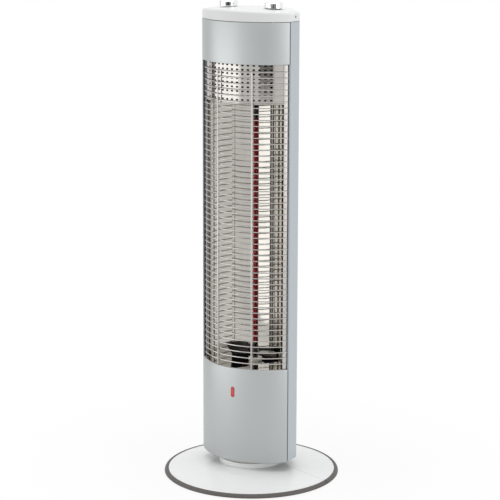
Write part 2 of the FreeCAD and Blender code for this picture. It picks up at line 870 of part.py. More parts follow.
def top_cap():
    def crowned(inset, low, drop):
        body = plan(inset, low, crown_top, cap_corner)
        crown = Part.makeSphere(crown_radius, V(0, knob_y, crown_top - drop - crown_radius))
        return body.common(crown)
    outer = crowned(0.0, cap_bottom, 0.0)
    rim = [e for e in outer.Edges if e.BoundBox.ZMin > cap_bottom + cap_height / 2]
    outer = outer.makeFillet(cap_round, rim)
    shell = outer.cut(crowned(wall, cap_bottom, wall))
    stem_hole = rod(stem_radius + clear, V(knob_x, knob_y, cap_bottom), V(knob_x, knob_y, crown_top))
    shell = shell.cut(both_sides(stem_hole))
    hole = rod(screw_hole, cap_place - RIGHT * wall, cap_place + RIGHT * wall)
    recess = rod(cap_screw_head + clear, cap_place, cap_place + RIGHT * wall)
    return shell.cut(both_sides(hole.fuse(recess)))


def cap_screws():
    grip = cap_place.x - rail_inner + clear
    one = screw(cap_place, LEFT, grip, cap_screw_head, cap_screw_recess - seat)
    return Part.makeCompound(both_sides(one))


# Frame inside the column

def side_rail():
    web = box(rail_inner, rail_outer, rail_front, rail_back, floor_top, rail_top)
    inner = rail_inner - rail_flange
    foot = box(inner, rail_outer, rail_front, rail_back, floor_top, floor_top + rail_thick)
    back = box(inner, rail_outer, rail_back - rail_thick, rail_back, floor_top, panel_top)
    rail = web.fuse([foot, back]).removeSplitter()
    rail = drilled(rail, rail_places, UP, 2 * rail_thick)
    rail = drilled(rail, rear_places, BACK, 2 * (rear_screw_seat - rail_back) + rail_thick)
    return drilled(rail, panel_places + bracket_places + [cap_place], RIGHT, 3 * wall)


def bracket(low, front, back, flange_low):
    half = rail_inner - rail_flange - clear
    plate = box(-half, half, front, back, low, low + bracket_thick)
    plate = plate.common(plan(wall + clear, low, low + bracket_thick))
    tongue = box(-flange_outer, flange_outer, bracket_front, bracket_end_back, low, low + bracket_thick)
    ends = both_sides(box(bracket_inner, flange_outer, bracket_front, bracket_end_back,
                          flange_low, flange_low + bracket_flange))
    body = plate.fuse([tongue] + ends).removeSplitter()
    holes = [V(s * at.x, at.y, at.z) for at in bracket_places for s in (-1, 1)]
    return drilled(body, holes, RIGHT, 2 * bracket_thick)


def tube_bracket(low, flange_low):
    body = bracket(low, bracket_front, tube_y + bracket_behind, flange_low)
    return drilled(body, [V(sleeve_x, tube_y, low)], UP, 2 * bracket_thick, sleeve_radius + clear)


def lower_tube_bracket():
    return tube_bracket(lower_bracket_top - bracket_thick, lower_bracket_top - bracket_flange)


def upper_tube_bracket():
    return tube_bracket(upper_bracket_low, upper_bracket_low)


switch_bush_radius = stem_radius + running + switch_bush_wall


def control_bracket():
    flange_low = control_low + bracket_thick - bracket_flange
    reach = switch_half + control_margin
    body = bracket(control_low, knob_y - reach, knob_y + reach, flange_low)
    holes = [V(x, knob_y, control_low) for x in (-knob_x, knob_x)]
    return drilled(body, holes, UP, 2 * bracket_thick, switch_bush_radius + seat)


def frame_screws():
    screws = []
    for at in panel_places + bracket_places:
        screws += both_sides(screw(at, RIGHT, rail_outer - at.x))
    return Part.makeCompound(screws)


# Guard, perforated plate and reflector

def guard_wire(z):
    section = Part.Face(Part.Wire(Part.makeCircle(wire_radius, V(wire_circle, 0, z), BACK)))
    wire = section.revolve(V(0, 0, 0), UP, 2 * wire_half_angle)
    wire.rotate(V(0, 0, 0), UP, -90.0 - wire_half_angle)
    wire.translate(V(0, front_centre, 0))
    return wire


def guard_wires():
    return Part.makeCompound([guard_wire(top_wire - wire_pitch * k) for k in range(wire_count)])


def guard_uprights():
    x, y = on_arc(upright_circle, upright_angle)
    one = rod(upright_radius, V(x, y, window_bottom + seat), V(x, y, top_wire + wire_radius))
    return Part.makeCompound(both_sides(one))


def guard_strip():
    low = window_bottom + wire_radius
    high = window_top - wire_radius
    face = arc_wall(strip_outer, strip_inner, strip_start, strip_end, low, high)
    inside = rod(strip_outer, V(0, front_centre, low), V(0, front_centre, high))
    return face.fuse(side_flange(low, high, strip_thick).common(inside)).removeSplitter()


def perforated_plate():
    low = window_top - perf_below
    high = window_top + perf_above
    span = perf_half_angle
    inner = perf_outer - perf_thick
    body = arc_wall(perf_outer, inner, -span, span, low, high)
    lip_span = span - math.degrees(perf_lip / perf_outer)
    lip = arc_wall(perf_outer, inner - perf_lip, -lip_span, lip_span, low, low + perf_thick)
    body = body.fuse(lip).removeSplitter()
    holes = []
    half = perf_hole_height / 2
    run = perf_hole_width / 2 - half
    for row in range(perf_rows):
        z = low + perf_first_row + perf_step * row
        for column in range(perf_columns):
            angle = perf_step_angle * (column - (perf_columns - 1) / 2)
            slot = box(-run, run, -perf_outer - perf_thick, -inner + perf_thick, z - half, z + half)
            ends = [rod(half, V(x, -perf_outer - perf_thick, z), V(x, -inner + perf_thick, z))
                    for x in (-run, run)]
            slot = slot.fuse(ends).removeSplitter()
            slot.rotate(V(0, 0, 0), UP, angle)
            slot.translate(V(0, front_centre, 0))
            holes.append(slot)
    return body.cut(Part.makeCompound(holes))


wing_run = math.hypot(wing_edge_x - crease_x, crease_y - wing_edge_y)
wing_along = ((wing_edge_x - crease_x) / wing_run, (wing_edge_y - crease_y) / wing_run)
wing_behind = (-wing_along[1], wing_along[0])


def reflector_wing():
    return folded(
        lower_bracket_top + reflector_raise, reflector_top, sheet,
        (crease_x, crease_y),
        (wing_edge_x, wing_edge_y),
        (flange_outer - sheet, wing_edge_y),
        (flange_outer - sheet, wing_edge_y + wing_flange))


plates_low = window_bottom + seat
plates_top = plates_low + sheet


def reflector_floor():
    # Two plates on the lower panel's lip, and the opening between them narrows to the front
    reach = upright_circle - upright_radius - clear
    ahead = sheet + clear
    back = (crease_x - wing_behind[0] * ahead, crease_y - wing_behind[1] * ahead)
    side = (wing_edge_x - wing_behind[0] * ahead, wing_edge_y - wing_behind[1] * ahead)
    first = math.degrees(math.asin(floor_mouth / reach))
    last = math.degrees(math.asin(side[0] / reach))
    face = closed_face(
        flat,
        back,
        side,
        on_arc(reach, last),
        (on_arc(reach, (first + last) / 2), on_arc(reach, first)))
    return Part.makeCompound(both_sides(raised(face, plates_low, plates_top)))


def reflector_trough():
    # The trough's edges lie behind the wings
    step = sheet + sheet_gap
    bend = (crease_x + wing_behind[0] * step, crease_y + wing_behind[1] * step)
    edge = (bend[0] + wing_along[0] * trough_overlap, bend[1] + wing_along[1] * trough_overlap)
    return folded(
        plates_top + seat, reflector_top, sheet,
        (-edge[0], edge[1]),
        (-bend[0], bend[1]),
        ((0.0, crease_y + trough_depth), bend),
        edge)


# Heater tube

glow_low = tube_low + lower_terminal
glow_high = tube_high - upper_terminal


def quartz_tube():
    return ring(tube_radius, tube_radius - tube_wall, tube_low, tube_high, 0.0, tube_y)


def graphite_element():
    return rod(element_radius, V(0, tube_y, glow_low), V(0, tube_y, glow_high))


def element_terminals():
    lower = rod(terminal_radius, V(0, tube_y, tube_low), V(0, tube_y, glow_low))
    upper = rod(terminal_radius, V(0, tube_y, glow_high), V(0, tube_y, tube_high))
    return Part.makeCompound([lower, upper])


def ceramic_cap(closed_z, inward):
    # Banded porcelain cap whose socket opens towards the tube
    open_z = closed_z + inward * ceramic_length
    body = rod(ceramic_radius, V(0, tube_y, closed_z), V(0, tube_y, open_z))
    socket_z = open_z - inward * ceramic_socket
    body = body.cut(rod(tube_radius + seat, V(0, tube_y, socket_z), V(0, tube_y, open_z)))
    for share in (1, 2):
        middle = closed_z + inward * ceramic_length * share / 3
        groove = ring(ceramic_radius, ceramic_radius - ceramic_groove,
                      middle - ceramic_band / 2, middle + ceramic_band / 2, 0.0, tube_y)
        body = body.cut(groove)
    return body


def lower_tube_cap():
    return ceramic_cap(lower_bracket_top, 1)


def upper_tube_cap():
    return ceramic_cap(upper_bracket_low, -1)


def lead_sleeve(bracket_z, inward):
    # From the side of the ceramic cap, round a bend and out through the bracket
    start = ceramic_radius + seat
    z = bracket_z + inward * sleeve_rise
    bend_start = start + sleeve_run
    half_root = math.sqrt(0.5)
    through = V(bend_start + sleeve_bend * half_root, tube_y, z - inward * sleeve_bend * (1 - half_root))
    bend_end = V(sleeve_x, tube_y, z - inward * sleeve_bend)
    first = Part.LineSegment(V(start, tube_y, z), V(bend_start, tube_y, z)).toShape()
    bend = Part.Arc(V(bend_start, tube_y, z), through, bend_end).toShape()
    last = Part.LineSegment(bend_end, V(sleeve_x, tube_y, bracket_z - inward * sleeve_past)).toShape()
    section = Part.Wire(Part.makeCircle(sleeve_radius, V(start, tube_y, z), RIGHT))
    return Part.Wire([first, bend, last]).makePipeShell([section], True, False)


def lower_lead_sleeve():
    return lead_sleeve(lower_bracket_top, 1)


def upper_lead_sleeve():
    return lead_sleeve(upper_bracket_low, -1)


# Controls and electrics

def rotary_switch(x, side):
    low = control_low - switch_height
    front = knob_y - switch_half
    body = box(x - switch_half, x + switch_half, front, front + 2 * switch_half, low, control_low)
    bush_top = control_low + bracket_thick + switch_bush_height
    body = body.fuse(rod(switch_bush_radius, V(x, knob_y, low), V(x, knob_y, bush_top)))
    tag_x = x + (side * switch_half - tag_thick) / 2
    for tag_y in (knob_y - switch_half / 2, knob_y + switch_half / 2):
        body = body.fuse(box(tag_x, tag_x + tag_thick, tag_y - tag_width / 2, tag_y + tag_width / 2,
                             low - tag_length, low))
    bore_low = control_low - stem_into_switch - clear
    bore = rod(stem_radius + running, V(x, knob_y, bore_low), V(x, knob_y, bush_top))
    return body.removeSplitter().cut(bore)


def control_shaft(x):
    foot = V(x, knob_y, control_low - stem_into_switch)
    return rod(stem_radius, foot, V(x, knob_y, knob_low + stem_into_knob))


def knob(x):
    middle = V(x, knob_y, knob_low)
    body = rod(knob_radius, middle, V(x, knob_y, knob_top))
    rims = [e for e in body.Edges if e.BoundBox.ZMin > knob_low + knob_height / 2]
    body = body.makeFillet(knob_edge, rims)
    half = knob_rib_width / 2
    front = -(knob_radius + knob_rib_proud)
    rib = box(x - half, x + half, knob_y + front, knob_y, knob_low, knob_top - knob_edge)
    scoop = rod(knob_radius - knob_rim, V(x, knob_y, knob_top - knob_recess), V(x, knob_y, knob_top))
    scoop = scoop.cut(box(x - half, x + half, knob_y - knob_radius, knob_y + knob_radius, knob_low, knob_top))
    body = body.fuse(rib).cut(scoop).removeSplitter()
    body = body.cut(rod(stem_radius + running, middle, V(x, knob_y, knob_low + stem_into_knob)))
    body.rotate(middle, UP, knob_pointing)
    return body


def thermal_cutout():
    low = upper_bracket_low + bracket_thick
    return rod(cutout_radius, V(cutout_x, tube_y, low), V(cutout_x, tube_y, low + cutout_height))


def terminal_block():
    x0 = -(hub_screw_circle + screw_head + block_gap + block_length)
    y0 = block_y - block_depth / 2
    y1 = y0 + block_depth
    top = floor_top + block_height
    body = box(x0, x0 + block_length, y0, y1, floor_top, top)
    for k in range(1, block_poles):
        slot_x = x0 + block_length * k / block_poles - block_slot / 2
        body = body.cut(box(slot_x, slot_x + block_slot, y0, y1, top - block_slot_depth, top))
    return body


def cord_gland():
    z = column_bottom + gland_z
    body_radius = gland_bore + gland_wall
    inner_end = V(0, rear_reach - wall - gland_tail, z)
    face = V(0, rear_reach + seat, z)
    outer_end = face + BACK * gland_flange_thick
    body = rod(body_radius, inner_end, face).fuse(rod(body_radius + gland_flange, face, outer_end))
    return body.removeSplitter().cut(rod(gland_bore, inner_end, outer_end))


pieces = {
    "base_front_cover": front_half(base_cover()),
    "base_rear_cover": rear_half(base_cover()),
    "front_edge_trim": front_half(edge_trim()),
    "rear_edge_trim": rear_half(edge_trim()),
    "base_bottom_plate": base_bottom_plate(),
    "base_feet": base_feet(),
    "base_screws": base_screws(),
    "base_weight": base_weight(),
    "neck_ring": neck_ring(),
    "slip_ring": slip_ring(),
    "swivel_socket": swivel_socket(),
    "hub_bush": hub_bush(),
    "swing_fork": swing_fork(),
    "tip_switch": tip_switch(),
    "tip_plunger": tip_plunger(),
    "hub_tube": hub_tube(),
    "thrust_washer": thrust_washer(),
    "hub_circlip": hub_circlip(),
    "column_floor": column_floor(),
    "swing_motor": swing_motor(),
    "floor_screws": floor_screws(),
    "motor_shaft": motor_shaft(),
    "swing_crank": swing_crank(),
    "rear_cover": rear_cover(),
    "rear_cover_screws": rear_cover_screws(),
    "upper_front_panel": upper_front_panel(),
    "lower_front_panel": lower_front_panel(),
    "pilot_lamp": pilot_lamp(),
    "top_cap": top_cap(),
    "cap_screws": cap_screws(),
    "right_rail": side_rail(),
    "left_rail": mirrored(side_rail()),
    "lower_tube_bracket": lower_tube_bracket(),
    "upper_tube_bracket": upper_tube_bracket(),
    "control_bracket": control_bracket(),
    "frame_screws": frame_screws(),
    "guard_wires": guard_wires(),
    "guard_uprights": guard_uprights(),
    "guard_right_strip": guard_strip(),
    "guard_left_strip": mirrored(guard_strip()),
    "perforated_plate": perforated_plate(),
    "reflector_floor": reflector_floor(),
    "reflector_trough": reflector_trough(),
    "reflector_right_wing": reflector_wing(),
    "reflector_left_wing": mirrored(reflector_wing()),
    "quartz_tube": quartz_tube(),
    "graphite_element": graphite_element(),
    "element_terminals": element_terminals(),
    "lower_tube_cap": lower_tube_cap(),
    "upper_tube_cap": upper_tube_cap(),
    "lead_sleeves": Part.makeCompound([lower_lead_sleeve(), upper_lead_sleeve()]),
    "heat_switch": rotary_switch(-knob_x, -1),
    "timer_switch": rotary_switch(knob_x, 1),
    "heat_shaft": control_shaft(-knob_x),
    "timer_shaft": control_shaft(knob_x),
    "heat_knob": knob(-knob_x),
    "timer_knob": knob(knob_x),
    "thermal_cutout": thermal_cutout(),
    "terminal_block": terminal_block(),
    "cord_gland": cord_gland(),
}

os.makedirs("parts", exist_ok=True)
for name, shape in pieces.items():
    shape.exportStep("parts/" + name + ".step")
    print(name, len(shape.Solids), "valid" if shape.isValid() else "NOT VALID")
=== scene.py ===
import json
import math

import bmesh
import bpy
import numpy as np
from mathutils import Matrix, Vector

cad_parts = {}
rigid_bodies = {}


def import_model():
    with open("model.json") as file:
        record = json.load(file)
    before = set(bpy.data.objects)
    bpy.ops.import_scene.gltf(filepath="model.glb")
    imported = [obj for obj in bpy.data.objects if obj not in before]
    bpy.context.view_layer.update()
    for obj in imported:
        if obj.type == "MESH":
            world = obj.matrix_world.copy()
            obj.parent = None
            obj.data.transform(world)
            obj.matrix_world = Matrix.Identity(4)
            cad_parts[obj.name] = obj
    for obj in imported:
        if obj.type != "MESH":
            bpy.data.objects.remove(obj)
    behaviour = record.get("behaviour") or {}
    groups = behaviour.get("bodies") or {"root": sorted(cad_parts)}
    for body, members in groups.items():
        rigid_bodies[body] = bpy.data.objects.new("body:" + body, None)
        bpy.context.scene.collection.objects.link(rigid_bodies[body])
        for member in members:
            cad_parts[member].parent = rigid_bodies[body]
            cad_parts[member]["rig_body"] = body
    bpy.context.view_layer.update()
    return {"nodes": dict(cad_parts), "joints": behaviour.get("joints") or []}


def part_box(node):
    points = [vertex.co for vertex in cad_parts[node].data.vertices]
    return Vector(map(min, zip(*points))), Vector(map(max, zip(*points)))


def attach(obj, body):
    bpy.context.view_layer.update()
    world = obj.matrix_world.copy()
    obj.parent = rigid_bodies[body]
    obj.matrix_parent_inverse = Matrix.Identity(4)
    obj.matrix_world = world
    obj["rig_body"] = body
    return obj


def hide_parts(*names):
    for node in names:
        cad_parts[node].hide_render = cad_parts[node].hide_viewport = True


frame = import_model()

slotOf = {name: cadObject.data.materials[0].name for name, cadObject in frame["nodes"].items()}
mm = 0.001               # sizes below are in millimetres, the scene is in metres
poleRadius = 0.1         # small flat that closes the middle of a turned end


# Small tools for meshes

def boxOf(node):
    # a CAD node's lowest and highest corners, in millimetres
    low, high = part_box(node)
    return np.array(low) / mm, np.array(high) / mm


def fullTurn(count):
    # angles spread evenly around a circle, none of them twice
    return np.linspace(0, 2 * math.pi, count + 1)[:-1]


def gridFaces(rows, cols, wrapRows):
    # four-cornered faces between neighbouring rows of a grid whose columns close on themselves
    row, col = np.meshgrid(np.arange(rows - (not wrapRows)), np.arange(cols), indexing="ij")
    here, there = row * cols, (row + 1) % rows * cols
    nextCol = (col + 1) % cols
    corners = (here + col, there + col, there + nextCol, here + nextCol)
    return np.stack(corners, -1).reshape(-1, 4)


def solidOf(outlines, loop=False):
    # outlines[i, j] is point j of closed outline i: neighbouring outlines are joined side by side,
    # and a run that doesn't come back to its start gets a flat face on each end
    rows, cols = outlines.shape[:2]
    blocks = [gridFaces(rows, cols, loop)]
    if not loop:
        blocks.append(np.arange(cols)[None])
        blocks.append(np.arange(rows * cols - 1, (rows - 1) * cols - 1, -1)[None])
    return outlines.reshape(-1, 3), blocks


def raised(plan, low, high):
    # a closed outline in plan, raised between two heights
    ends = [np.column_stack([plan, np.full(len(plan), z)]) for z in (low, high)]
    return solidOf(np.stack(ends))


def turned(outline, middle, around):
    # each (radius, height) point of an outline becomes a ring about an upright axis at the middle
    angles = fullTurn(around)
    radius, height = np.asarray(outline, float).T[:, :, None]
    across, along = radius * np.cos(angles), radius * np.sin(angles)
    height = np.broadcast_to(height, across.shape)
    return np.stack([across + middle[0], along + middle[1], height], -1)


def bend(before, corner, after, radius, steps=6):
    # arc of a given radius that rounds a corner between two straight runs, from first to second
    before, corner, after = (np.asarray(p, float) for p in (before, corner, after))
    back = (before - corner) / np.linalg.norm(before - corner)
    ahead = (after - corner) / np.linalg.norm(after - corner)
    half = math.acos(np.clip(back @ ahead, -1, 1)) / 2
    inward = (back + ahead) / np.linalg.norm(back + ahead)
    centre = corner + inward * radius / math.sin(half)
    start = corner + back * radius / math.tan(half) - centre
    end = corner + ahead * radius / math.tan(half) - centre
    sweep = math.pi - 2 * half
    share = np.linspace(0, 1, steps)[:, None]
    arc = start * np.sin((1 - share) * sweep) + end * np.sin(share * sweep)
    return centre + arc / math.sin(sweep)


def roundedOutline(corners, radii, steps=6):
    # closed outline of straight runs with each corner rounded by its own radius
    count = len(corners)
    arcs = [bend(corners[k - 1], corners[k], corners[(k + 1) % count], radii[k], steps)
            for k in range(count)]
    return np.concatenate(arcs)


def addPiece(name, shells, nodes, slotName=None, body=None, crease=32.0):
    # one mesh from whole arrays, with its faces turned outwards and edges past the crease angle
    # kept sharp; it takes body, slot and finish from the first CAD node that it stands for,
    # unless they are given
    starts = np.cumsum([0] + [len(points) for points, blocks in shells])
    points = np.concatenate([points for points, blocks in shells]) * mm
    faces = []
    for start, (_, blocks) in zip(starts, shells):
        for block in blocks:
            faces += (block + start).tolist()
    mesh = bpy.data.meshes.new(name)
    mesh.from_pydata(points.tolist(), [], faces)
    work = bmesh.new()
    work.from_mesh(mesh)
    bmesh.ops.recalc_face_normals(work, faces=work.faces)
    work.to_mesh(mesh)
    work.free()
    mesh.shade_smooth()
    mesh.set_sharp_from_angle(angle=math.radians(crease))
    slotName = slotName or slotOf[nodes[0]]
    mesh.materials.append(finishes[slotName])
    piece = bpy.data.objects.new(name, mesh)
    bpy.context.scene.collection.objects.link(piece)
    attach(piece, body or frame["nodes"][nodes[0]]["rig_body"])
    if nodes:
        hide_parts(*nodes)


# Small tools for finishes

def toLinear(hexColour):
    # sRGB hex text to the linear colour that shaders use
    share = np.array([int(hexColour[k:k + 2], 16) for k in (1, 3, 5)]) / 255
    linear = np.where(share <= 0.04045, share / 12.92, ((share + 0.055) / 1.055) ** 2.4)
    return (*linear.tolist(), 1.0)


def addNode(tree, kind, values=None, links=None, **settings):
    # one node with its settings, the values of its sockets and the links that come into it
    made = tree.nodes.new(kind)
    for name, value in settings.items():
        setattr(made, name, value)
    for socket, value in (values or {}).items():
        made.inputs[socket].default_value = value
    for socket, source in (links or {}).items():
        tree.links.new(source, made.inputs[socket])
    return made


def newFinish(name, sockets):
    # a Principled material whose constant values stand on the shader's own sockets
    finish = bpy.data.materials.new(name)
    finish.use_nodes = True
    tree = finish.node_tree
    shader = tree.nodes["Principled BSDF"]
    for socket, value in sockets.items():
        shader.inputs[socket].default_value = value
    return finish, tree, shader


def aboveMask(tree, low):
    # 1 on faces above a height
    coords = addNode(tree, "ShaderNodeTexCoord")
    apart = addNode(tree, "ShaderNodeSeparateXYZ", None, {0: coords.outputs["Object"]})
    above = addNode(tree, "ShaderNodeMath", {1: low * mm}, {0: apart.outputs["Z"]},
                    operation="GREATER_THAN")
    return above.outputs[0]


def insideMask(tree, middleY, radius, reach, front):
    # 1 on faces that lie nearer to an upright axis than a radius, nearer to the middle plane
    # than a reach and behind a front plane
    place = addNode(tree, "ShaderNodeTexCoord").outputs["Object"]
    flat = addNode(tree, "ShaderNodeVectorMath", {1: (1, 1, 0)}, {0: place}, operation="MULTIPLY")
    away = addNode(tree, "ShaderNodeVectorMath", {1: (0, middleY * mm, 0)}, {0: flat.outputs[0]},
                   operation="DISTANCE")
    apart = addNode(tree, "ShaderNodeSeparateXYZ", None, {0: place})
    aside = addNode(tree, "ShaderNodeMath", None, {0: apart.outputs["X"]}, operation="ABSOLUTE")
    tests = ((away.outputs["Value"], radius, "LESS_THAN"), (aside.outputs[0], reach, "LESS_THAN"),
             (apart.outputs["Y"], front, "GREATER_THAN"))
    near, within, behind = (
        addNode(tree, "ShaderNodeMath", {1: limit * mm}, {0: measure}, operation=test).outputs[0]
        for measure, limit, test in tests)
    both = addNode(tree, "ShaderNodeMath", None, {0: near, 1: within}, operation="MULTIPLY")
    inside = addNode(tree, "ShaderNodeMath", None, {0: both.outputs[0], 1: behind},
                     operation="MULTIPLY")
    return inside.outputs[0]


def maskedCoatOrShade(tree, shader, mask, colour, metallic):
    # another coat, or a painted shade, where the mask is 1, with its own colour and no metal in it;
    # metallic is outside
    outside = shader.inputs["Base Color"].links[0].from_socket
    tone = addNode(tree, "ShaderNodeMix", {7: toLinear(colour)}, {0: mask, 6: outside},
                   data_type="RGBA")
    metal = addNode(tree, "ShaderNodeMapRange", {"To Min": metallic, "To Max": 0.0},
                    {"Value": mask})
    tree.links.new(tone.outputs[2], shader.inputs["Base Color"])
    tree.links.new(metal.outputs[0], shader.inputs["Metallic"])


def addGrain(tree, shader, grain):
    # noise of a real grain size, drawn out along an axis, mixes two tones, shifts the gloss and
    # raises the surface; tones and gloss use the middle of the noise, where most of it lies
    middle = {"From Min": 0.3, "From Max": 0.7}
    coords = addNode(tree, "ShaderNodeTexCoord")
    drawn = tuple(1 / (grain["size"] * mm * k) for k in grain.get("drawnOut", (1, 1, 1)))
    place = addNode(tree, "ShaderNodeMapping", {"Scale": drawn},
                    {"Vector": coords.outputs["Object"]})
    noise = addNode(tree, "ShaderNodeTexNoise", {"Scale": 1.0, "Detail": grain.get("detail", 2.0)},
                    {"Vector": place.outputs["Vector"]}).outputs[0]
    spread = addNode(tree, "ShaderNodeMapRange", middle, {"Value": noise})
    tones = {6: toLinear(grain["tones"][0]), 7: toLinear(grain["tones"][1])}
    tone = addNode(tree, "ShaderNodeMix", tones, {0: spread.outputs[0]}, data_type="RGBA")
    reach = {"To Min": grain["gloss"][0], "To Max": grain["gloss"][1]}
    gloss = addNode(tree, "ShaderNodeMapRange", {**middle, **reach}, {"Value": noise})
    lift = addNode(tree, "ShaderNodeBump", {"Strength": 1.0, "Distance": grain["height"] * mm},
                   {"Height": noise})
    tree.links.new(tone.outputs[2], shader.inputs["Base Color"])
    tree.links.new(gloss.outputs[0], shader.inputs["Roughness"])
    tree.links.new(lift.outputs[0], shader.inputs["Normal"])


def grained(name, sockets, grain):
    # a finish that is all constant values and grain
    finish, tree, shader = newFinish(name, sockets)
    addGrain(tree, shader, grain)
    return finish


# Plan of the column: two arcs about points on the Y axis

frontRadius, rearRadius = 106.0, 97.0
halfWidth = boxOf("rear_cover")[1][0]
frontCentre = boxOf("lower_front_panel")[0][1] + frontRadius
rearCentre = boxOf("rear_cover")[1][1] - rearRadius
seamY = frontCentre - math.sqrt(frontRadius ** 2 - halfWidth ** 2)    # panels and rear cover meet


# Finishes: sizes and heights of the grain are in millimetres

coats = {
    "skin": 1.0,             # faces this far inside the outer arcs have the inner coat
    "shadeBack": 12.0,      # black painted shade inside the rear cover starts this far behind the seam
    "shadeDrop": 7.0}        # the reflector is painted black, as shade, from this far below the perforated plate


def silverLacquer():
    # steel sprayed with silver metallic lacquer: soft reflections with a fine flake under a thin
    # clear coat, and pale plain primer inside; the flake is drawn at 0.7 mm, coarser than real,
    # so that it shows
    finish, tree, shader = newFinish("silver metallic lacquer on steel",
                                     {"Coat Weight": 0.1, "Coat Roughness": 0.3})
    addGrain(tree, shader, {
        "size": 0.7, "tones": ("#afb3b3", "#b8bcbc"), "gloss": (0.43, 0.49), "height": 0.003})
    mask = insideMask(tree, frontCentre, frontRadius - coats["skin"], halfWidth, -frontRadius)
    maskedCoatOrShade(tree, shader, mask, "#c9cbcb", 0.85)
    return finish


def blueGreyLacquer():
    # steel sprayed in pale blue-grey: satin, with the slight orange peel of a thick coat,
    # and black inside as painted shade of the closed column, stopping short of the front edge
    finish, tree, shader = newFinish("pale blue-grey lacquer on steel",
                                     {"Coat Weight": 0.1, "Coat Roughness": 0.25})
    addGrain(tree, shader, {
        "size": 1.6, "tones": ("#b2bbc0", "#bac2c7"), "gloss": (0.38, 0.46), "height": 0.006})
    skin = coats["skin"]
    mask = insideMask(tree, rearCentre, rearRadius - skin, halfWidth - skin,
                      seamY + coats["shadeBack"])
    # painted shade: black on the inner faces, for the shade inside the column
    maskedCoatOrShade(tree, shader, mask, "#1c1b1b", 0.35)
    return finish


def whiteAbs():
    # moulded white ABS with a polished tool: clean gloss and a barely uneven skin
    return grained("gloss white ABS, moulded", {"IOR": 1.53}, {
        "size": 6.0, "tones": ("#f0f1f1", "#f2f3f3"), "gloss": (0.18, 0.24), "height": 0.004})


def capAbs():
    # moulded pale grey ABS from a spark-eroded tool: an even satin with a fine grain
    return grained("satin pale grey ABS, moulded", {"IOR": 1.53}, {
        "size": 0.5, "tones": ("#e2e3e3", "#e7e8e8"), "gloss": (0.36, 0.46), "height": 0.01})


def edgingRubber():
    # extruded soft PVC in warm grey: dull, with fine speckle and a slight bloom
    return grained("warm grey soft PVC edging, extruded", {"IOR": 1.5}, {
        "size": 0.9, "tones": ("#524e4c", "#5d5957"), "gloss": (0.5, 0.64), "height": 0.02})


def footRubber():
    # moulded black rubber: matt and slightly grainy
    return grained("black rubber pad, moulded", {"IOR": 1.52}, {
        "size": 0.6, "tones": ("#1b1b1b", "#262626"), "gloss": (0.65, 0.8), "height": 0.03})


def shadeBlackZinc():
    # sheet steel, zinc plated: near black as painted shade of the dark lower opening and seams,
    # with the faint clouds of the bath
    return grained("zinc on sheet steel, near black as painted shade, pressed", {"Metallic": 0.6}, {
        "size": 9.0, "detail": 5.0, "tones": ("#2b2c2d", "#3a3b3b"), "gloss": (0.32, 0.46),
        "height": 0.01})


def castIron():
    # sand-cast iron ballast with a thin black dip coat: pitted and dull
    return grained("black dipped iron, sand cast", {"IOR": 1.5}, {
        "size": 1.4, "detail": 6.0, "tones": ("#2b2a29", "#3b3937"), "gloss": (0.55, 0.75),
        "height": 0.15})


def platedScrew():
    # nickel-plated screw steel: bright with fine forming marks
    return grained("nickel-plated screw steel, cold headed", {"Metallic": 1.0}, {
        "size": 0.4, "tones": ("#b5b5b2", "#cbcbc8"), "gloss": (0.2, 0.32), "height": 0.006})


def turnedSteel():
    # bright steel turned on a lathe: fine rings around the axis
    return grained("bright steel, turned", {"Metallic": 1.0}, {
        "size": 0.5, "drawnOut": (12, 12, 1), "tones": ("#a5a7a9", "#bfc1c2"),
        "gloss": (0.22, 0.36), "height": 0.006})


def acetal():
    # natural acetal bearing plastic: milky and waxy
    scatter = {"Subsurface Weight": 0.15, "Subsurface Radius": (0.002, 0.002, 0.002)}
    return grained("natural acetal, moulded", {"IOR": 1.48, **scatter}, {
        "size": 2.5, "tones": ("#e2ded2", "#ece8de"), "gloss": (0.32, 0.44), "height": 0.008})


def blackNylon():
    # moulded black nylon: satin with a fine tool grain
    return grained("black nylon, moulded", {"IOR": 1.53}, {
        "size": 0.5, "tones": ("#161617", "#202122"), "gloss": (0.4, 0.52), "height": 0.012})


def motorSteel():
    # drawn steel can of a small gear motor, dull zinc: soft upright drawing marks
    return grained("dull zinc motor can, drawn", {"Metallic": 1.0}, {
        "size": 1.2, "drawnOut": (1, 1, 6), "tones": ("#8e9193", "#a6a8a9"),
        "gloss": (0.35, 0.48), "height": 0.008})


def redAcrylic():
    # clear red acrylic lens over a lamp: glossy, with a soft red depth
    coat = {"Coat Weight": 0.3, "Coat Roughness": 0.05}
    scatter = {"Subsurface Weight": 0.2, "Subsurface Radius": (0.003, 0.0006, 0.0006)}
    return grained("clear red acrylic lens, moulded", {"IOR": 1.49, **coat, **scatter}, {
        "size": 5.0, "tones": ("#c4252c", "#dc4a4c"), "gloss": (0.1, 0.16), "height": 0.01})


def guardChrome():
    # drawn steel wire, chrome plated: bright, with a faint fine grain
    return grained("chrome-plated wire, drawn", {"Metallic": 1.0}, {
        "size": 0.5, "tones": ("#b9b6b3", "#c4c1be"), "gloss": (0.16, 0.26), "height": 0.003})


def knobChrome():
    # moulded ABS, bright chrome plated: a near mirror with soft moulded unevenness
    return grained("bright chrome on ABS, plated", {"Metallic": 1.0}, {
        "size": 4.0, "tones": ("#eaebed", "#f0f1f2"), "gloss": (0.04, 0.09), "height": 0.01})


def polishedSteel():
    # stainless sheet, mirror rolled and punched: clear reflections with faint rolling lines
    return grained("stainless sheet, mirror rolled", {"Metallic": 1.0}, {
        "size": 1.5, "drawnOut": (10, 10, 1), "tones": ("#b0ada9", "#bab7b3"),
        "gloss": (0.09, 0.15), "height": 0.003})


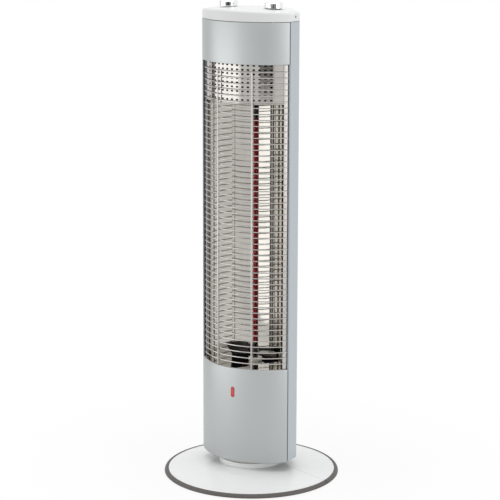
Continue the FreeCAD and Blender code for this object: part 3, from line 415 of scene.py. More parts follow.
def brightAluminium():
    # aluminium reflector sheet, bright rolled: slightly warm mirror with long shallow waves from
    # rolling and folding, and painted black as shade where it ends behind the perforated plate
    finish, tree, shader = newFinish("aluminium reflector sheet, bright rolled", {"Metallic": 1.0})
    addGrain(tree, shader, {
        "size": 18.0, "drawnOut": (1, 1, 4), "tones": ("#b3b0aa", "#bcb9b3"),
        "gloss": (0.03, 0.07), "height": 0.06})
    shadeFrom = boxOf("perforated_plate")[0][2] - coats["shadeDrop"]
    # painted shade: black above this height, so that the perforated plate's holes show dark
    maskedCoatOrShade(tree, shader, aboveMask(tree, shadeFrom), "#161515", 1.0)
    return finish


def clearQuartz():
    # drawn fused quartz tube: clear, with faint draw lines along it; its face-on reflection is
    # toned down so that the element's colour stays deep
    clear = {"IOR": 1.45, "Transmission Weight": 1.0, "Specular Tint": (0.15, 0.15, 0.15, 1.0)}
    return grained("clear fused quartz, drawn", clear, {
        "size": 1.0, "drawnOut": (1, 1, 30), "tones": ("#f4f2ef", "#fbfaf8"),
        "gloss": (0.0, 0.03), "height": 0.002})


def graphiteRod():
    # graphite element with a ruby flash: deep red, fibrous and dull
    dull = {"IOR": 1.6, "Specular IOR Level": 0.1}
    return grained("graphite element with ruby flash, pressed", dull, {
        "size": 1.2, "drawnOut": (1, 1, 5), "tones": ("#860b12", "#9a0f17"),
        "gloss": (0.35, 0.5), "height": 0.03})


def terminalCarbon():
    # carbon end pieces: black, fine grained and dull
    dull = {"IOR": 1.8, "Specular IOR Level": 0.1}
    return grained("black carbon terminal, machined", dull, {
        "size": 0.6, "tones": ("#0d0c0c", "#181616"), "gloss": (0.38, 0.5), "height": 0.01})


def steatite():
    # fired steatite porcelain: warm white, half glazed, with small specks
    return grained("half-glazed steatite porcelain, fired", {"IOR": 1.55}, {
        "size": 1.0, "tones": ("#f0ece3", "#f7f4ec"), "gloss": (0.2, 0.34), "height": 0.015})


def glassSleeve():
    # braided glass-fibre sleeve over a lead: white, with crossing threads that are drawn 1.6 mm
    # apart, coarser than real, so that they show
    braid = {"spacing": 1.578, "lean": 45, "tones": ("#b9b3a6", "#e9e5da"), "height": 0.1}
    finish, tree, shader = newFinish("glass-fibre sleeve, braided",
                                     {"IOR": 1.5, "Sheen Weight": 0.2, "Roughness": 0.8})
    coords = addNode(tree, "ShaderNodeTexCoord")
    perBand = math.pi / 10             # length of one band of the wave texture at scale 1
    threads = {}
    for k, lean in enumerate((braid["lean"], -braid["lean"])):
        turn = addNode(tree, "ShaderNodeMapping", {"Rotation": (0, math.radians(lean), 0)},
                       {"Vector": coords.outputs["Object"]})
        wave = addNode(tree, "ShaderNodeTexWave", {"Scale": perBand / (braid["spacing"] * mm)},
                       {"Vector": turn.outputs["Vector"]}, bands_direction="Z")
        threads[k] = wave.outputs["Fac"]
    weave = addNode(tree, "ShaderNodeMath", None, threads, operation="MAXIMUM").outputs[0]
    tones = {6: toLinear(braid["tones"][0]), 7: toLinear(braid["tones"][1])}
    tone = addNode(tree, "ShaderNodeMix", tones, {0: weave}, data_type="RGBA")
    lift = addNode(tree, "ShaderNodeBump", {"Distance": braid["height"] * mm}, {"Height": weave})
    tree.links.new(tone.outputs[2], shader.inputs["Base Color"])
    tree.links.new(lift.outputs[0], shader.inputs["Normal"])
    return finish


finishes = {
    "silver_paint": silverLacquer(), "grey_paint": blueGreyLacquer(), "white_plastic": whiteAbs(),
    "cap_plastic": capAbs(), "edging_rubber": edgingRubber(), "foot_rubber": footRubber(),
    "plate_steel": shadeBlackZinc(), "ballast_iron": castIron(), "screw_steel": platedScrew(),
    "machined_steel": turnedSteel(), "bearing_plastic": acetal(), "black_plastic": blackNylon(),
    "motor_steel": motorSteel(), "red_lens": redAcrylic(), "guard_chrome": guardChrome(),
    "knob_chrome": knobChrome(), "polished_steel": polishedSteel(),
    "reflector_aluminium": brightAluminium(), "quartz": clearQuartz(), "graphite": graphiteRod(),
    "terminal_carbon": terminalCarbon(), "porcelain": steatite(), "sleeve_cloth": glassSleeve()}
for node, cadObject in frame["nodes"].items():
    cadObject.data.materials[0] = finishes[slotOf[node]]
print("finishes:", len(finishes))


# Base: two moulded halves, soft edging around them and the neck ring

base = {
    "rim": -boxOf("base_front_cover")[0][1], "rimLow": 1.2, "rimTop": 6.6,     # cover's outer edge
    "rimRound": 0.9, "footRound": 0.4,
    "land": 56.0, "landRound": 2.0, "top": 21.0, "bulge": 1.0,       # flat ring on top of the cover
    "bore": 49.5, "boreRound": 0.6, "wall": 2.5,
    "seam": 0.5, "edgingSeam": 1.8, "clipInset": 0.35, "clipHalf": 4.0,   # joints of the halves
    "edging": -boxOf("front_edge_trim")[0][1], "edgingLow": 1.0, "edgingTop": 7.0,
    "edgingBevel": 0.8, "edgingRound": 0.4, "edgingGap": 0.1,
    "edgingLip": 1.4,                              # flat on top of the edging, beside the rim
    "neck": 54.5, "neckTop": 29.5,
    "neckRounds": (0.2, 0.3, 1.5, 0.6),            # inner foot, outer foot, outer top, inner top
    "stops": 97, "slopeStops": 36, "bowStops": 14, "clipStops": 5, "neckAround": 128}


def halfTurned(outline, side, seam):
    # an outline turned through half a circle, cut flat half a seam from the joint;
    # side -1 is the front
    radius, height = outline[:, 0], outline[:, 1]
    cut = np.arcsin(seam / 2 / radius)
    angles = cut + (math.pi - 2 * cut) * np.linspace(0, 1, base["stops"])[:, None]
    height = np.broadcast_to(height, angles.shape)
    return solidOf(np.stack([radius * np.cos(angles), side * radius * np.sin(angles), height], -1))


def coverOutline():
    # rim, then a cone with a parabolic bulge up to the land, the bore, and the same line
    # a wall lower
    rim, rimTop, low = base["rim"], base["rimTop"], base["rimLow"]
    land, top, bore, wall = base["land"], base["top"], base["bore"], base["wall"]
    share = np.linspace(0, 1, base["slopeStops"])[1:-1]
    rise = rimTop + (top - rimTop) * share + 4 * base["bulge"] * share * (1 - share)
    slope = np.stack([rim + (land - rim) * share, rise], -1)
    under = slope[::-1] - (0, wall)
    under = under[under[:, 0] < rim - wall]
    return np.concatenate([
        bend((rim - wall, low), (rim, low), (rim, rimTop), base["footRound"]),
        bend((rim, low), (rim, rimTop), slope[0], base["rimRound"]),
        slope[1:],
        bend(slope[-1], (land, top), (bore, top), base["landRound"]),
        bend((land, top), (bore, top), (bore, top - wall), base["boreRound"]),
        [(bore, top - wall)],
        under,
        [(rim - wall, rimTop - wall), (rim - wall, low)]])


def edgingOutline():
    # flat inner side, a small lip on top, then a quarter round down to a bevelled foot
    quarter = np.linspace(math.pi / 2, 0, base["bowStops"])
    inner, low, top = base["rim"] + base["edgingGap"], base["edgingLow"], base["edgingTop"]
    lip = base["rim"] + base["edgingLip"]
    bow = base["edging"] - lip
    bowed = np.stack([lip + bow * np.cos(quarter), top - bow + bow * np.sin(quarter)], -1)
    foot = [(base["edging"] - base["edgingBevel"], low), (inner, low)]
    edge = bend((inner, low), (inner, top), bowed[0], base["edgingRound"])
    return np.concatenate([bowed, foot, edge])


def clipShell(side):
    # the edging's outline drawn in towards its middle, along a short arc across a joint
    outline = edgingOutline()
    middle = (outline.min(0) + outline.max(0)) / 2
    outline = middle + (outline - middle) * (1 - base["clipInset"] / (outline.max(0) - middle))
    half = base["clipHalf"] / base["edging"]
    angles = np.linspace(-half, half, base["clipStops"])[:, None]
    radius, height = outline[:, 0], np.broadcast_to(outline[:, 1], (len(angles), len(outline)))
    return solidOf(np.stack([side * radius * np.cos(angles), radius * np.sin(angles), height], -1))


def neckOutline():
    # an upright oblong with rounded corners, from the cover's top to just under the column
    inner, outer, low, top = base["bore"], base["neck"], base["top"], base["neckTop"]
    corners = [(inner, low), (outer, low), (outer, top), (inner, top)]
    return roundedOutline(corners, base["neckRounds"], steps=8)


addPiece("baseFrontHalf", [halfTurned(coverOutline(), -1, base["seam"])], ["base_front_cover"])
addPiece("baseRearHalf", [halfTurned(coverOutline(), 1, base["seam"])], ["base_rear_cover"])
addPiece("frontEdging", [halfTurned(edgingOutline(), -1, base["edgingSeam"])], ["front_edge_trim"])
addPiece("rearEdging", [halfTurned(edgingOutline(), 1, base["edgingSeam"])], ["rear_edge_trim"])
addPiece("edgingClips", [clipShell(-1), clipShell(1)], [], "black_plastic", "base")
neckRings = turned(neckOutline(), (0, 0), base["neckAround"])
addPiece("neckRing", [solidOf(neckRings, loop=True)], ["neck_ring"])
print("base pieces made")


# Column: two curved front panels, with dark rubber strips in the seams beside them as painted
# shade, and slim beads beside the window

column = {
    "wall": 2.0, "seam": 1.1,                      # panels' ends ahead of the arc's end
    "lip": 5.0, "lipThick": 2.0,
    "rounds": (0.9, 1.4, 0.6, 0.6, 0.4, 0.9),      # outer edge, fold, lip twice, inner fold, edge
    "stripDepth": 0.8, "shadeStripWide": 1.5, "beadSlim": 0.7, "stripThick": 1.3,     # slim: at the window
    "stripRound": 0.3, "shadeStripFoot": 2.0,             # the dark strip starts this far above the panel's foot
    "stops": 81}
panelLow, panelHigh = boxOf("lower_front_panel")
windowBottom, windowTop = panelHigh[2], boxOf("upper_front_panel")[0][2]
panelTop = boxOf("upper_front_panel")[1][2]
panelEnd = math.acos((frontCentre - seamY + column["seam"]) / frontRadius)


def aroundFront(outline, angles):
    # an outline of (radius, height) points carried around the front arc, at angles from straight
    # ahead towards +X
    radius, height = outline[..., 0], outline[..., 1]
    angles = np.broadcast_to(np.reshape(angles, (-1, 1)), (len(angles), outline.shape[-2]))
    across, along = radius * np.sin(angles), frontCentre - radius * np.cos(angles)
    return np.stack([across, along, np.broadcast_to(height, angles.shape)], -1)


def panelShell(low, high, lipAtTop):
    # a wall with one edge folded inwards as a lip at the window, carried around the front arc
    outer, inner = frontRadius, frontRadius - column["wall"]
    fold, plain = (high, low) if lipAtTop else (low, high)
    lipIn = outer - column["lip"]
    under = fold + (-1 if lipAtTop else 1) * column["lipThick"]
    corners = [(outer, plain), (outer, fold), (lipIn, fold),
               (lipIn, under), (inner, under), (inner, plain)]
    outline = roundedOutline(corners, column["rounds"], steps=7)
    return solidOf(aroundFront(outline, np.linspace(-panelEnd, panelEnd, column["stops"])))


def seamStripShell(side, wide, low, high):
    # a rounded strip that stands just inside the rear cover's front edge
    right = halfWidth - column["stripDepth"]
    left, half = right - wide, column["stripThick"] / 2
    corners = np.array([(left, seamY - half), (right, seamY - half),
                        (right, seamY + half), (left, seamY + half)])
    plan = roundedOutline(corners * (side, 1), [column["stripRound"]] * 4, steps=4)
    return raised(plan, low, high)


shadeStripRuns = ((panelLow[2] + column["shadeStripFoot"], windowBottom), (windowTop, panelTop))
shadeStrips = [seamStripShell(side, column["shadeStripWide"], *run) for side in (-1, 1) for run in shadeStripRuns]
beads = [seamStripShell(side, column["beadSlim"], windowBottom, windowTop) for side in (-1, 1)]
# dark rubber strips in the seams beside the panels: painted shade of the seam gaps
addPiece("seamShadeStrips", shadeStrips, [], "edging_rubber", "column")
addPiece("windowBeads", beads, [], "grey_paint", "column")
addPiece("upperPanel", [panelShell(windowTop, panelTop, False)], ["upper_front_panel"])
addPiece("lowerPanel", [panelShell(panelLow[2], windowBottom, True)], ["lower_front_panel"])


# Pilot lens: a red oblong with a softly rounded face, in a thin black bead that is painted shade of
# the gap around it

lens = {
    "halfWidth": 3.2, "height": 17.6, "proud": 0.5, "faceRound": 0.6, "depth": 2.0, "gapShadeRadius": 0.3,
    "around": 64, "gapShadeSteps": 10}
lensMiddle = np.array(boxOf("pilot_lamp")).mean(0)[2]
lensRise = lens["height"] / 2 - lens["halfWidth"]


def oblong(half, y):
    # two half circles a straight run apart, upright in a plane of constant y
    angle = (np.arange(lens["around"]) + 0.5) * 2 * math.pi / lens["around"]
    x, z = half * np.cos(angle), half * np.sin(angle) + np.sign(np.sin(angle)) * lensRise
    return np.stack([x, np.full_like(x, y), z + lensMiddle], -1)


def lensShell():
    # oblong rings from inside the panel to the front, then drawn in along a quarter round
    # to a flat face
    front = panelLow[1] - lens["proud"]
    turn = np.linspace(0, math.pi / 2, 7)
    drawnIn = lens["faceRound"] * (1 - np.cos(turn))
    ahead = front + lens["faceRound"] * (1 - np.sin(turn))
    rings = [oblong(lens["halfWidth"], panelLow[1] + lens["depth"])]
    rings += [oblong(lens["halfWidth"] - d, y) for d, y in zip(drawnIn, ahead)]
    return solidOf(np.stack(rings))


def gapShadeRing():
    # a thin round black bead carried around the lens where it meets the panel: painted shade of the
    # gap there
    half, bead = lens["halfWidth"], lens["gapShadeRadius"]
    rings = [oblong(half + bead * math.cos(turn), panelLow[1] + bead * math.sin(turn))
             for turn in fullTurn(lens["gapShadeSteps"])]
    return solidOf(np.stack(rings), loop=True)


addPiece("pilotLens", [lensShell()], ["pilot_lamp"])
# black bead around the lens: painted shade of the gap between lens and panel
addPiece("lensGapShade", [gapShadeRing()], [], "black_plastic", "column")
print("front panels made")


# Guard: chromed cross wires on two uprights, and the rolled edge of the perforated plate

guard = {
    "wire": 0.9, "circle": 102.6, "end": 51.06, "count": 51,     # angles are from straight ahead
    "upright": 1.2, "uprightCircle": 104.75, "uprightAngle": 17.8,
    "weld": 0.16, "weldReach": 1.5,                # wires swell where they are welded to an upright
    "bead": 1.3, "beadCircle": 100.1, "beadShort": 1.0,          # the plate's rolled edge
    "around": 10, "stops": 41, "weldStops": 9, "uprightAround": 20,
    "beadAround": 16, "beadStops": 61}


def wireShells():
    # a circle carried around the front arc at each wire's height; its radius swells in a bell
    # curve at the welds
    low, high = boxOf("guard_wires")
    heights = np.linspace(low[2] + guard["wire"], high[2] - guard["wire"], guard["count"])
    end, upright = math.radians(guard["end"]), math.radians(guard["uprightAngle"])
    nearWeld = np.linspace(-3, 3, guard["weldStops"]) * guard["weldReach"] / guard["circle"]
    evenly = np.linspace(-end, end, guard["stops"])
    angles = np.unique(np.concatenate([evenly, nearWeld - upright, nearWeld + upright]))
    away = np.minimum(abs(angles - upright), abs(angles + upright))
    away = away * guard["circle"] / guard["weldReach"]
    thick = (guard["wire"] + guard["weld"] * np.exp(-away ** 2))[:, None]
    turn = fullTurn(guard["around"])
    outline = np.stack([guard["circle"] + thick * np.cos(turn), thick * np.sin(turn)], -1)
    wire = aroundFront(outline, angles)
    return [solidOf(wire + (0, 0, height)) for height in heights]


def uprightShell(side):
    # rings up a rod whose ends are drawn in along a quarter round
    low, high = boxOf("guard_uprights")
    turn, rod = np.linspace(0, math.pi / 2, 5)[:-1], guard["upright"]
    endRadius, endRise = rod * np.cos(turn), rod * np.sin(turn)
    bottom = np.stack([endRadius, low[2] + rod - endRise], -1)[::-1]
    top = np.stack([endRadius, high[2] - rod + endRise], -1)
    angle, circle = side * math.radians(guard["uprightAngle"]), guard["uprightCircle"]
    middle = (circle * math.sin(angle), frontCentre - circle * math.cos(angle))
    return solidOf(turned(np.concatenate([bottom, top]), middle, guard["uprightAround"]))


def beadShell():
    # the perforated plate's rolled lower edge: a circle carried around the front arc
    low, high = boxOf("perforated_plate")
    circle, bead = guard["beadCircle"], guard["bead"]
    end = math.asin(high[0] / circle) - guard["beadShort"] / circle
    turn = fullTurn(guard["beadAround"])
    outline = np.stack([circle + bead * np.cos(turn), low[2] + bead * np.sin(turn)], -1)
    return solidOf(aroundFront(outline, np.linspace(-end, end, guard["beadStops"])))


addPiece("guardWires", wireShells(), ["guard_wires"])
addPiece("guardUprights", [uprightShell(-1), uprightShell(1)], ["guard_uprights"])
addPiece("plateBead", [beadShell()], [], "polished_steel", "column")
print("guard made")


# Reflector: a trough behind the tube and a folded wing on each side

reflector = {
    "sheet": 0.6, "crease": 46.0, "edgeX": 74.5, "flangeX": 78.7, "flangeBack": 9.5,
    "depth": 19.0,                      # trough behind the creases
    "overlap": 8.0, "step": 0.8,        # trough's edges lap behind the wings
    "fold": 1.2,                        # inside radius of the folds
    "slopeEnd": 0.95,                   # share of the slope before its fold
    "slopeStops": 12, "troughStops": 73}
wingLow, wingHigh = boxOf("reflector_right_wing")
tubeLow, tubeHigh = boxOf("quartz_tube")
tubeY = (tubeLow[1] + tubeHigh[1]) / 2


def sheetShell(path, low, high):
    # a line in plan, given the sheet's thickness across its own direction and raised between
    # two heights
    along = np.gradient(path, axis=0)
    along /= np.linalg.norm(along, axis=1)[:, None]
    across = np.stack([along[:, 1], -along[:, 0]], -1) * reflector["sheet"]
    return raised(np.concatenate([path, (path + across)[::-1]]), low, high)


def wingPath():
    # from the crease out to the front edge, round it, and back along the flange
    crease = (reflector["crease"], tubeY)
    edge = (reflector["edgeX"], wingLow[1])
    corner = (reflector["flangeX"], wingLow[1])
    back = (reflector["flangeX"], wingLow[1] + reflector["flangeBack"])
    run = np.linspace(0, reflector["slopeEnd"], reflector["slopeStops"])[:, None]
    slope = np.array(crease) + (np.array(edge) - crease) * run
    folds = [bend(crease, edge, corner, reflector["fold"]),
             bend(edge, corner, back, reflector["fold"])]
    return np.concatenate([slope, *folds, [back]])


def troughPath():
    # a circular arc between the creases with a straight lap on each side
    slope = np.array([reflector["edgeX"] - reflector["crease"], wingLow[1] - tubeY])
    slope /= np.linalg.norm(slope)
    behind = reflector["step"] * np.array([-slope[1], slope[0]])
    start = np.array([reflector["crease"], tubeY]) + behind
    lap = start + slope * reflector["overlap"]
    deep = tubeY + reflector["depth"]
    sagitta = deep - start[1]
    radius = (start[0] ** 2 + sagitta ** 2) / (2 * sagitta)
    half = math.asin(start[0] / radius)
    angle = np.linspace(half, -half, reflector["troughStops"])
    arc = np.stack([radius * np.sin(angle), deep - radius + radius * np.cos(angle)], -1)
    return np.concatenate([[lap], arc, [lap * (-1, 1)]])


rightWing = sheetShell(wingPath(), wingLow[2], wingHigh[2])
leftWing = (rightWing[0] * (-1, 1, 1), rightWing[1])
troughLow, troughHigh = boxOf("reflector_trough")
addPiece("rightWing", [rightWing], ["reflector_right_wing"])
addPiece("leftWing", [leftWing], ["reflector_left_wing"])
trough = sheetShell(troughPath(), troughLow[2], troughHigh[2])
addPiece("trough", [trough], ["reflector_trough"])
print("reflector made")


# Heater tube: quartz around a graphite rod, held by banded porcelain caps

tube = {
    "radius": 5.0, "wall": 0.7, "endRound": 0.3, "element": 4.2, "rodEdge": 0.3,
    "cap": 11.5, "capRound": 0.8, "socket": 5.1, "socketDepth": 12.0, "socketBevel": 0.4,
    "groove": 0.8, "band": 3.0, "bandEase": 0.35,
    "around": 64, "rodAround": 48, "capAround": 72}


def quartzShell():
    # an upright oblong with rounded ends, turned about the tube's axis
    inner, outer = tube["radius"] - tube["wall"], tube["radius"]
    low, high = tubeLow[2], tubeHigh[2]
    corners = [(inner, low), (outer, low), (outer, high), (inner, high)]
    outline = roundedOutline(corners, [tube["endRound"]] * 4)
    return solidOf(turned(outline, (0, tubeY), tube["around"]), loop=True)


def rodShell(low, high):
    # a plain rod on the tube's axis with its ends bevelled
    outer, edge = tube["element"], tube["rodEdge"]
    outline = [(poleRadius, low), (outer - edge, low), (outer, low + edge)]
    outline += [(outer, high - edge), (outer - edge, high), (poleRadius, high)]
    return solidOf(turned(outline, (0, tubeY), tube["rodAround"]))


def porcelainShell(node, opensUp):
    # rings from the middle of the closed end, over two grooves to the open end, then down
    # the socket
    low, high = boxOf(node)
    closed, towards = (low[2], 1) if opensUp else (high[2], -1)
    length, outer, edge = high[2] - low[2], tube["cap"], tube["capRound"]
    cut = 0.3 * edge                    # middle point of a rounded edge
    outline = [(poleRadius, 0.0), (outer - edge, 0.0), (outer - cut, cut), (outer, edge)]
    deep, half, ease = outer - tube["groove"], tube["band"] / 2, tube["bandEase"]
    for third in (1, 2):
        middle = length * third / 3
        outline += [(outer, middle - half - ease), (deep, middle - half + ease)]
        outline += [(deep, middle + half - ease), (outer, middle + half + ease)]
    outline += [(outer, length - edge), (outer - cut, length - cut), (outer - edge, length)]
    socket, bevel, floor = tube["socket"], tube["socketBevel"], length - tube["socketDepth"]
    outline += [(socket + bevel, length), (socket, length - bevel)]
    outline += [(socket, floor), (poleRadius, floor)]
    outline = np.array(outline)
    outline[:, 1] = closed + towards * outline[:, 1]
    return solidOf(turned(outline, (0, tubeY), tube["capAround"]))


addPiece("quartzTube", [quartzShell()], ["quartz_tube"])
glowLow, glowHigh = (corner[2] for corner in boxOf("graphite_element"))
endLow, endHigh = (corner[2] for corner in boxOf("element_terminals"))
addPiece("graphiteElement", [rodShell(glowLow, glowHigh)], ["graphite_element"])
carbonEnds = [rodShell(endLow, glowLow), rodShell(glowHigh, endHigh)]
addPiece("carbonEnds", carbonEnds, ["element_terminals"])
addPiece("lowerPorcelain", [porcelainShell("lower_tube_cap", True)], ["lower_tube_cap"])
addPiece("upperPorcelain", [porcelainShell("upper_tube_cap", False)], ["upper_tube_cap"])
print("heater tube made")


# Knobs: chromed discs with a grip bar between two finger scoops, and a dark mark on the bar

knob = {
    "radius": 15.0, "edge": 0.8, "bore": 3.4, "footBevel": 0.4,
    "barHalf": 4.5, "barProud": 0.9, "barEase": 0.25, "pointing": 30.0,
    "scoop": 4.5, "scoopRadius": 13.2, "scoopEase": 1.6, "around": 288, "rings": 56}
mark = {
    "heat": 2.0, "timer": 0.45,                    # half widths on the bar's front face
    "foot": 1.6, "head": 1.3,                      # margins on the front face
    "topHalf": 0.45, "start": 4.0, "end": 13.6,    # line along the top, from the axis outwards
    "round": 0.35, "sunk": 0.5, "proud": 0.06, "topProud": 0.03}


def easedStep(value, low, high):
    # 0 up to low, 1 from high on, and an S-shaped cubic between them
    share = np.clip((value - low) / (high - low), 0, 1)
    return share * share * (3 - 2 * share)


def knobAxes(joint):
    # turning axis from the CAD joint, and the bar's own direction with the one across it
    pose = next(j for j in frame["joints"] if j["name"] == joint)["pos_m"]
    angle = math.radians(knob["pointing"])
    ahead = np.array([math.sin(angle), -math.cos(angle)])
    across = np.array([math.cos(angle), math.sin(angle)])
    return np.array(pose[:2]) / mm, ahead, across


def knobShell(node, joint):
    # polar rings up the wall and over the top; the wall's radius grows along the bar,
    # and the top sinks beside the bar by an eased step in distance from it and from the rim
    low, high = (corner[2] for corner in boxOf(node))
    middle, ahead, across = knobAxes(joint)
    angle = fullTurn(knob["around"])
    face, ease, bevel = knob["radius"] + knob["barProud"], knob["barEase"], knob["footBevel"]
    inFront = np.cos(angle) > 0.5       # within 60 degrees of the bar's front
    offBar = np.where(inFront, abs(face * np.tan(np.where(inFront, angle, 0))), knob["radius"])
    onBar = 1 - easedStep(offBar, knob["barHalf"] - ease, knob["barHalf"] + ease)
    flatFace = face / np.where(inFront, np.cos(angle), 1)
    barred = knob["radius"] + onBar * (flatFace - knob["radius"])
    plain = np.full_like(angle, knob["radius"])
    shoulder = high - knob["edge"]
    rows = [(np.full_like(angle, knob["bore"]), low), (barred - bevel, low), (barred, low + bevel),
            (barred, shoulder - ease), (np.maximum(barred - ease, plain), shoulder),
            (plain, shoulder)]
    rows += [(plain - knob["edge"] * (1 - math.cos(t)), shoulder + knob["edge"] * math.sin(t))
             for t in np.linspace(0, math.pi / 2, 7)[1:]]
    radius = np.stack([row[0] for row in rows])
    height = np.stack([np.full_like(angle, row[1]) for row in rows])
    inner = np.linspace(knob["radius"] - knob["edge"], poleRadius, knob["rings"])[1:, None]
    inner = inner + 0 * angle
    away = abs(inner * np.sin(angle))
    sunk = easedStep(away, knob["barHalf"], knob["barHalf"] + knob["scoopEase"])
    outside = easedStep(inner, knob["scoopRadius"] - knob["scoopEase"], knob["scoopRadius"])
    sunk = sunk * (1 - outside)
    radius = np.concatenate([radius, inner])
    height = np.concatenate([height, high - knob["scoop"] * sunk])[..., None]
    along, aside = (radius * np.cos(angle))[..., None], (radius * np.sin(angle))[..., None]
    return solidOf(np.concatenate([middle + along * ahead + aside * across, height], -1))


def markOutline(half, low, high):
    # an oblong with rounded corners
    corners = [(-half, low), (half, low), (half, high), (-half, high)]
    return roundedOutline(corners, [mark["round"]] * 4)


def markShells(node, joint, half):
    # two thin rounded plates, one up the bar's front face and one along its top
    low, high = (corner[2] for corner in boxOf(node))
    middle, ahead, across = knobAxes(joint)
    face = knob["radius"] + knob["barProud"]
    front = markOutline(half, low + mark["foot"], high - mark["head"])
    layers = [np.column_stack([middle + front[:, :1] * across + (face + out) * ahead, front[:, 1]])
              for out in (-mark["sunk"], mark["proud"])]
    line = markOutline(mark["topHalf"], mark["start"], mark["end"])
    plan = middle + line[:, :1] * across + line[:, 1:] * ahead
    top = raised(plan, high - mark["sunk"], high + mark["topProud"])
    return [solidOf(np.stack(layers)), top]


for use in ("heat", "timer"):
    node, joint, body = f"{use}_knob", f"{use}_turn", f"{use}_control"
    addPiece(f"{use}Knob", [knobShell(node, joint)], [node])
    addPiece(f"{use}Mark", markShells(node, joint, mark[use]), [], "black_plastic", body)
print("knobs made")


# Screw heads with a cross recess, on the back and on the cap's sides

screws = {
    "head": 2.8, "headHeight": 1.4, "capHead": 2.3, "capHeight": 1.1,
    "slot": 0.42, "slotFlat": 0.7,      # half width of the cross's arms, and the share that is flat
    "slotReach": 0.62, "slotDepth": 0.9,           # share of the head's radius, and depth
    "bevel": 0.15, "wall": 0.6, "fall": 0.3,       # wall and dome's fall as shares of the height
    "pole": 0.05, "around": 48, "rings": 22}


def screwShell(at, out, head, height):
    # polar rings over a domed head, sunk where either arm of the cross lies
    angle = fullTurn(screws["around"])
    inner = np.linspace(head - screws["bevel"], screws["pole"], screws["rings"])[:, None]
    x, y = inner * np.cos(angle), inner * np.sin(angle)
    slot, flat, reach = screws["slot"], screws["slotFlat"], head * screws["slotReach"]
    arms = np.maximum((1 - easedStep(abs(x), slot * flat, slot)) * (abs(y) < reach),
                      (1 - easedStep(abs(y), slot * flat, slot)) * (abs(x) < reach))
    dome = height * (1 - screws["fall"] * (inner / head) ** 2) - screws["slotDepth"] * arms
    foot = np.array([screws["pole"], head, head])[:, None]
    x = np.concatenate([foot * np.cos(angle), x])
    y = np.concatenate([foot * np.sin(angle), y])
    z = np.concatenate([[0 * angle, 0 * angle, 0 * angle + height * screws["wall"]], dome])
    out, up = np.array(out, float), (0, 0, 1.0)
    sideways = np.cross(up, out)
    points = x[..., None] * sideways + y[..., None] * up + z[..., None] * out
    return solidOf(np.asarray(at) + points)


def rearScrewShells():
    # three heads up each side of the back
    low, high = boxOf("rear_cover_screws")
    head, height = screws["head"], screws["headHeight"]
    levels = np.linspace(low[2] + head, high[2] - head, 3)
    places = [(side * (high[0] - head), high[1] - height, z) for side in (-1, 1) for z in levels]
    return [screwShell(at, (0, 1, 0), head, height) for at in places]


def capScrewShells():
    # one head on each side of the cap
    low, high = boxOf("cap_screws")
    head, height = screws["capHead"], screws["capHeight"]
    seat, (_, y, z) = high[0] - height, (low + high) / 2
    return [screwShell((side * seat, y, z), (side, 0, 0), head, height) for side in (-1, 1)]


addPiece("rearScrews", rearScrewShells(), ["rear_cover_screws"])
addPiece("capScrews", capScrewShells(), ["cap_screws"])
print("screws made")


# Camera, as the photograph was taken

photoView = {
    "azimuth": 30.9505, "distance": 2940.61, "height": 1012.2,    # stand point about the swing axis
    "yaw": 0.0611, "pitch": 12.1005, "roll": 0.1333,
    "focalPixels": 1817.21, "framePixels": 500, "sensor": 36.0,
    "clipEnd": 200}                                                # metres


def addCamera():
    # stands on the azimuth, turns back by it plus the yaw, tips down by the pitch and leans
    # by the roll
    azimuth, yaw, pitch, roll = (
        math.radians(photoView[k]) for k in ("azimuth", "yaw", "pitch", "roll"))
    reach, height = photoView["distance"], photoView["height"]
    place = Vector((math.sin(azimuth) * reach, -math.cos(azimuth) * reach, height)) * mm
    turn, level = azimuth + yaw, math.cos(pitch)
    forward = Vector((-math.sin(turn) * level, math.cos(turn) * level, -math.sin(pitch)))
    across = Vector((math.cos(turn), math.sin(turn), 0))
    upright = across.cross(forward)
    right = across * math.cos(roll) + upright * math.sin(roll)
    up = upright * math.cos(roll) - across * math.sin(roll)
    data = bpy.data.cameras.new("photoCamera")
    data.sensor_width = photoView["sensor"]
    data.lens = photoView["focalPixels"] / photoView["framePixels"] * photoView["sensor"]
    data.clip_end = photoView["clipEnd"]
    camera = bpy.data.objects.new("photoCamera", data)
    facing = Matrix((right, up, -forward)).transposed().to_4x4()
    camera.matrix_world = Matrix.Translation(place) @ facing
    bpy.context.scene.collection.objects.link(camera)
    bpy.context.scene.camera = camera


addCamera()


# Studio: white paper floor, soft boxes, and grey cards for the bright metal to reflect

studio = {
    "worldForLight": 0.5,               # world's strength for soft fill; it shows as plain white
    "floorRadius": 80.0, "floorSides": 96, "floorTones": ("#f4f4f3", "#f6f6f5"),
    "floorNear": (0.2, 0.85), "floorFar": (0.5, 1.0),     # distance and share of plain white there
    # name: azimuth, distance, middle height, width, height (metres) and brightness
    "boxes": {"leftBox": (-49, 0.8, 0.41, 0.92, 0.74, 1.0),
              "rightBox": (88, 1.9, 1.0, 1.3, 1.9, 1.6)},
    "overhead": (2.4, 2.2, 1.5),        # height, width and brightness
    # name: azimuth, distance, lower edge, upper edge, width and colour
    "cards": {"lowerCard": (32, 2.3, 0.37, 0.62, 1.1, "#6f6c69"),
              "upperCard": (27, 2.3, 0.63, 0.80, 1.9, "#8f8d89"),
              "leftCard": (-86, 0.85, 0.0, 0.75, 0.18, "#7b7875")}}


def addSoftbox(name, place, target, width, height, brightness):
    # a flat lamp that faces the target, with the power that gives it this brightness
    data = bpy.data.lights.new(name, "AREA")
    data.shape = "RECTANGLE"
    data.size, data.size_y = width, height
    data.energy = brightness * math.pi * width * height
    box = bpy.data.objects.new(name, data)
    facing = (Vector(target) - Vector(place)).to_track_quat("-Z", "Y")
    box.matrix_world = Matrix.Translation(place) @ facing.to_matrix().to_4x4()
    box.visible_camera = False
    bpy.context.scene.collection.objects.link(box)


def aroundStand(azimuth, distance, height):
    # a point about the swing axis, at an azimuth from straight ahead towards +X
    angle = math.radians(azimuth)
    return Vector((math.sin(angle) * distance, -math.cos(angle) * distance, height))


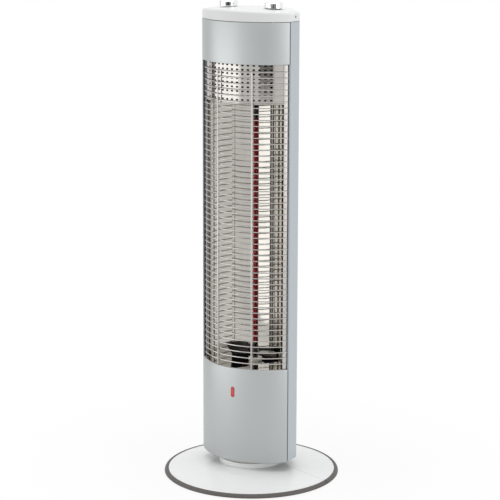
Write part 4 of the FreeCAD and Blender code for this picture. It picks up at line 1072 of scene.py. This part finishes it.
def shownWhite(tree):
    # 1 for rays that show the backdrop, straight or in metal and glass, and 0 for rays that
    # light the object
    rays = addNode(tree, "ShaderNodeLightPath").outputs
    seen = addNode(tree, "ShaderNodeMath", None,
                   {0: rays["Is Camera Ray"], 1: rays["Is Glossy Ray"]}, operation="MAXIMUM")
    shown = addNode(tree, "ShaderNodeMath", None,
                    {0: seen.outputs[0], 1: rays["Is Transmission Ray"]}, operation="MAXIMUM")
    return shown.outputs[0]


def addStudio():
    # soft boxes that face the swing axis, one overhead, and a white world
    for name, (azimuth, distance, height, width, tall, brightness) in studio["boxes"].items():
        place = aroundStand(azimuth, distance, height)
        addSoftbox(name, place, (0, 0, height), width, tall, brightness)
    height, width, brightness = studio["overhead"]
    addSoftbox("overheadBox", Vector((0, 0, height)), (0, 0, 0), width, width, brightness)
    world = bpy.data.worlds.new("whiteStudio")
    bpy.context.scene.world = world
    world.use_nodes = True
    tree = world.node_tree
    strength = addNode(tree, "ShaderNodeMapRange",
                       {"To Min": studio["worldForLight"], "To Max": 1.0},
                       {"Value": shownWhite(tree)})
    tree.nodes["Background"].inputs["Color"].default_value = (1, 1, 1, 1)
    tree.links.new(strength.outputs[0], tree.nodes["Background"].inputs["Strength"])


def addFloor():
    # a flat disc of white paper that keeps the shadow and otherwise shows white
    angle = fullTurn(studio["floorSides"])
    points = np.stack([np.cos(angle), np.sin(angle), 0 * angle], -1) * studio["floorRadius"]
    mesh = bpy.data.meshes.new("paperFloor")
    mesh.from_pydata(points.tolist(), [], [list(range(len(angle)))])
    floor = bpy.data.objects.new("paperFloor", mesh)
    bpy.context.scene.collection.objects.link(floor)
    finish, tree, shader = newFinish("white studio paper", {"Specular IOR Level": 0.0})
    addGrain(tree, shader, {
        "size": 40.0, "tones": studio["floorTones"], "gloss": (0.9, 1.0), "height": 0.0})
    coords = addNode(tree, "ShaderNodeTexCoord")
    away = addNode(tree, "ShaderNodeVectorMath", None, {0: coords.outputs["Object"]},
                   operation="LENGTH")
    (near, low), (far, high) = studio["floorNear"], studio["floorFar"]
    whiter = addNode(tree, "ShaderNodeMapRange",
                     {"From Min": near, "From Max": far, "To Min": low, "To Max": high},
                     {"Value": away.outputs["Value"]})
    share = addNode(tree, "ShaderNodeMath", None, {0: shownWhite(tree), 1: whiter.outputs[0]},
                    operation="MULTIPLY")
    glow = addNode(tree, "ShaderNodeEmission", {"Strength": 1.0})
    mixed = addNode(tree, "ShaderNodeMixShader", None,
                    {0: share.outputs[0], 1: shader.outputs[0], 2: glow.outputs[0]})
    tree.links.new(mixed.outputs[0], tree.nodes["Material Output"].inputs["Surface"])
    mesh.materials.append(finish)


def addCards():
    # grey cards that the silver faces and chrome reflect; the camera doesn't see them
    for name, (azimuth, distance, low, high, width, colour) in studio["cards"].items():
        plain = {"Specular IOR Level": 0.0, "Roughness": 1.0, "Base Color": toLinear(colour)}
        angle = math.radians(azimuth)
        across = Vector((math.cos(angle), math.sin(angle), 0)) * width / 2
        foot, head = aroundStand(azimuth, distance, low), aroundStand(azimuth, distance, high)
        corners = [foot - across, foot + across, head + across, head - across]
        mesh = bpy.data.meshes.new(name)
        mesh.from_pydata(corners, [], [(0, 1, 2, 3)])
        mesh.materials.append(newFinish("grey studio card", plain)[0])
        card = bpy.data.objects.new(name, mesh)
        card.visible_camera = False
        card.visible_diffuse = False
        card.visible_shadow = False
        bpy.context.scene.collection.objects.link(card)


addStudio()
addFloor()
addCards()
bpy.context.scene.view_settings.view_transform = "Standard"
print("studio and camera placed")
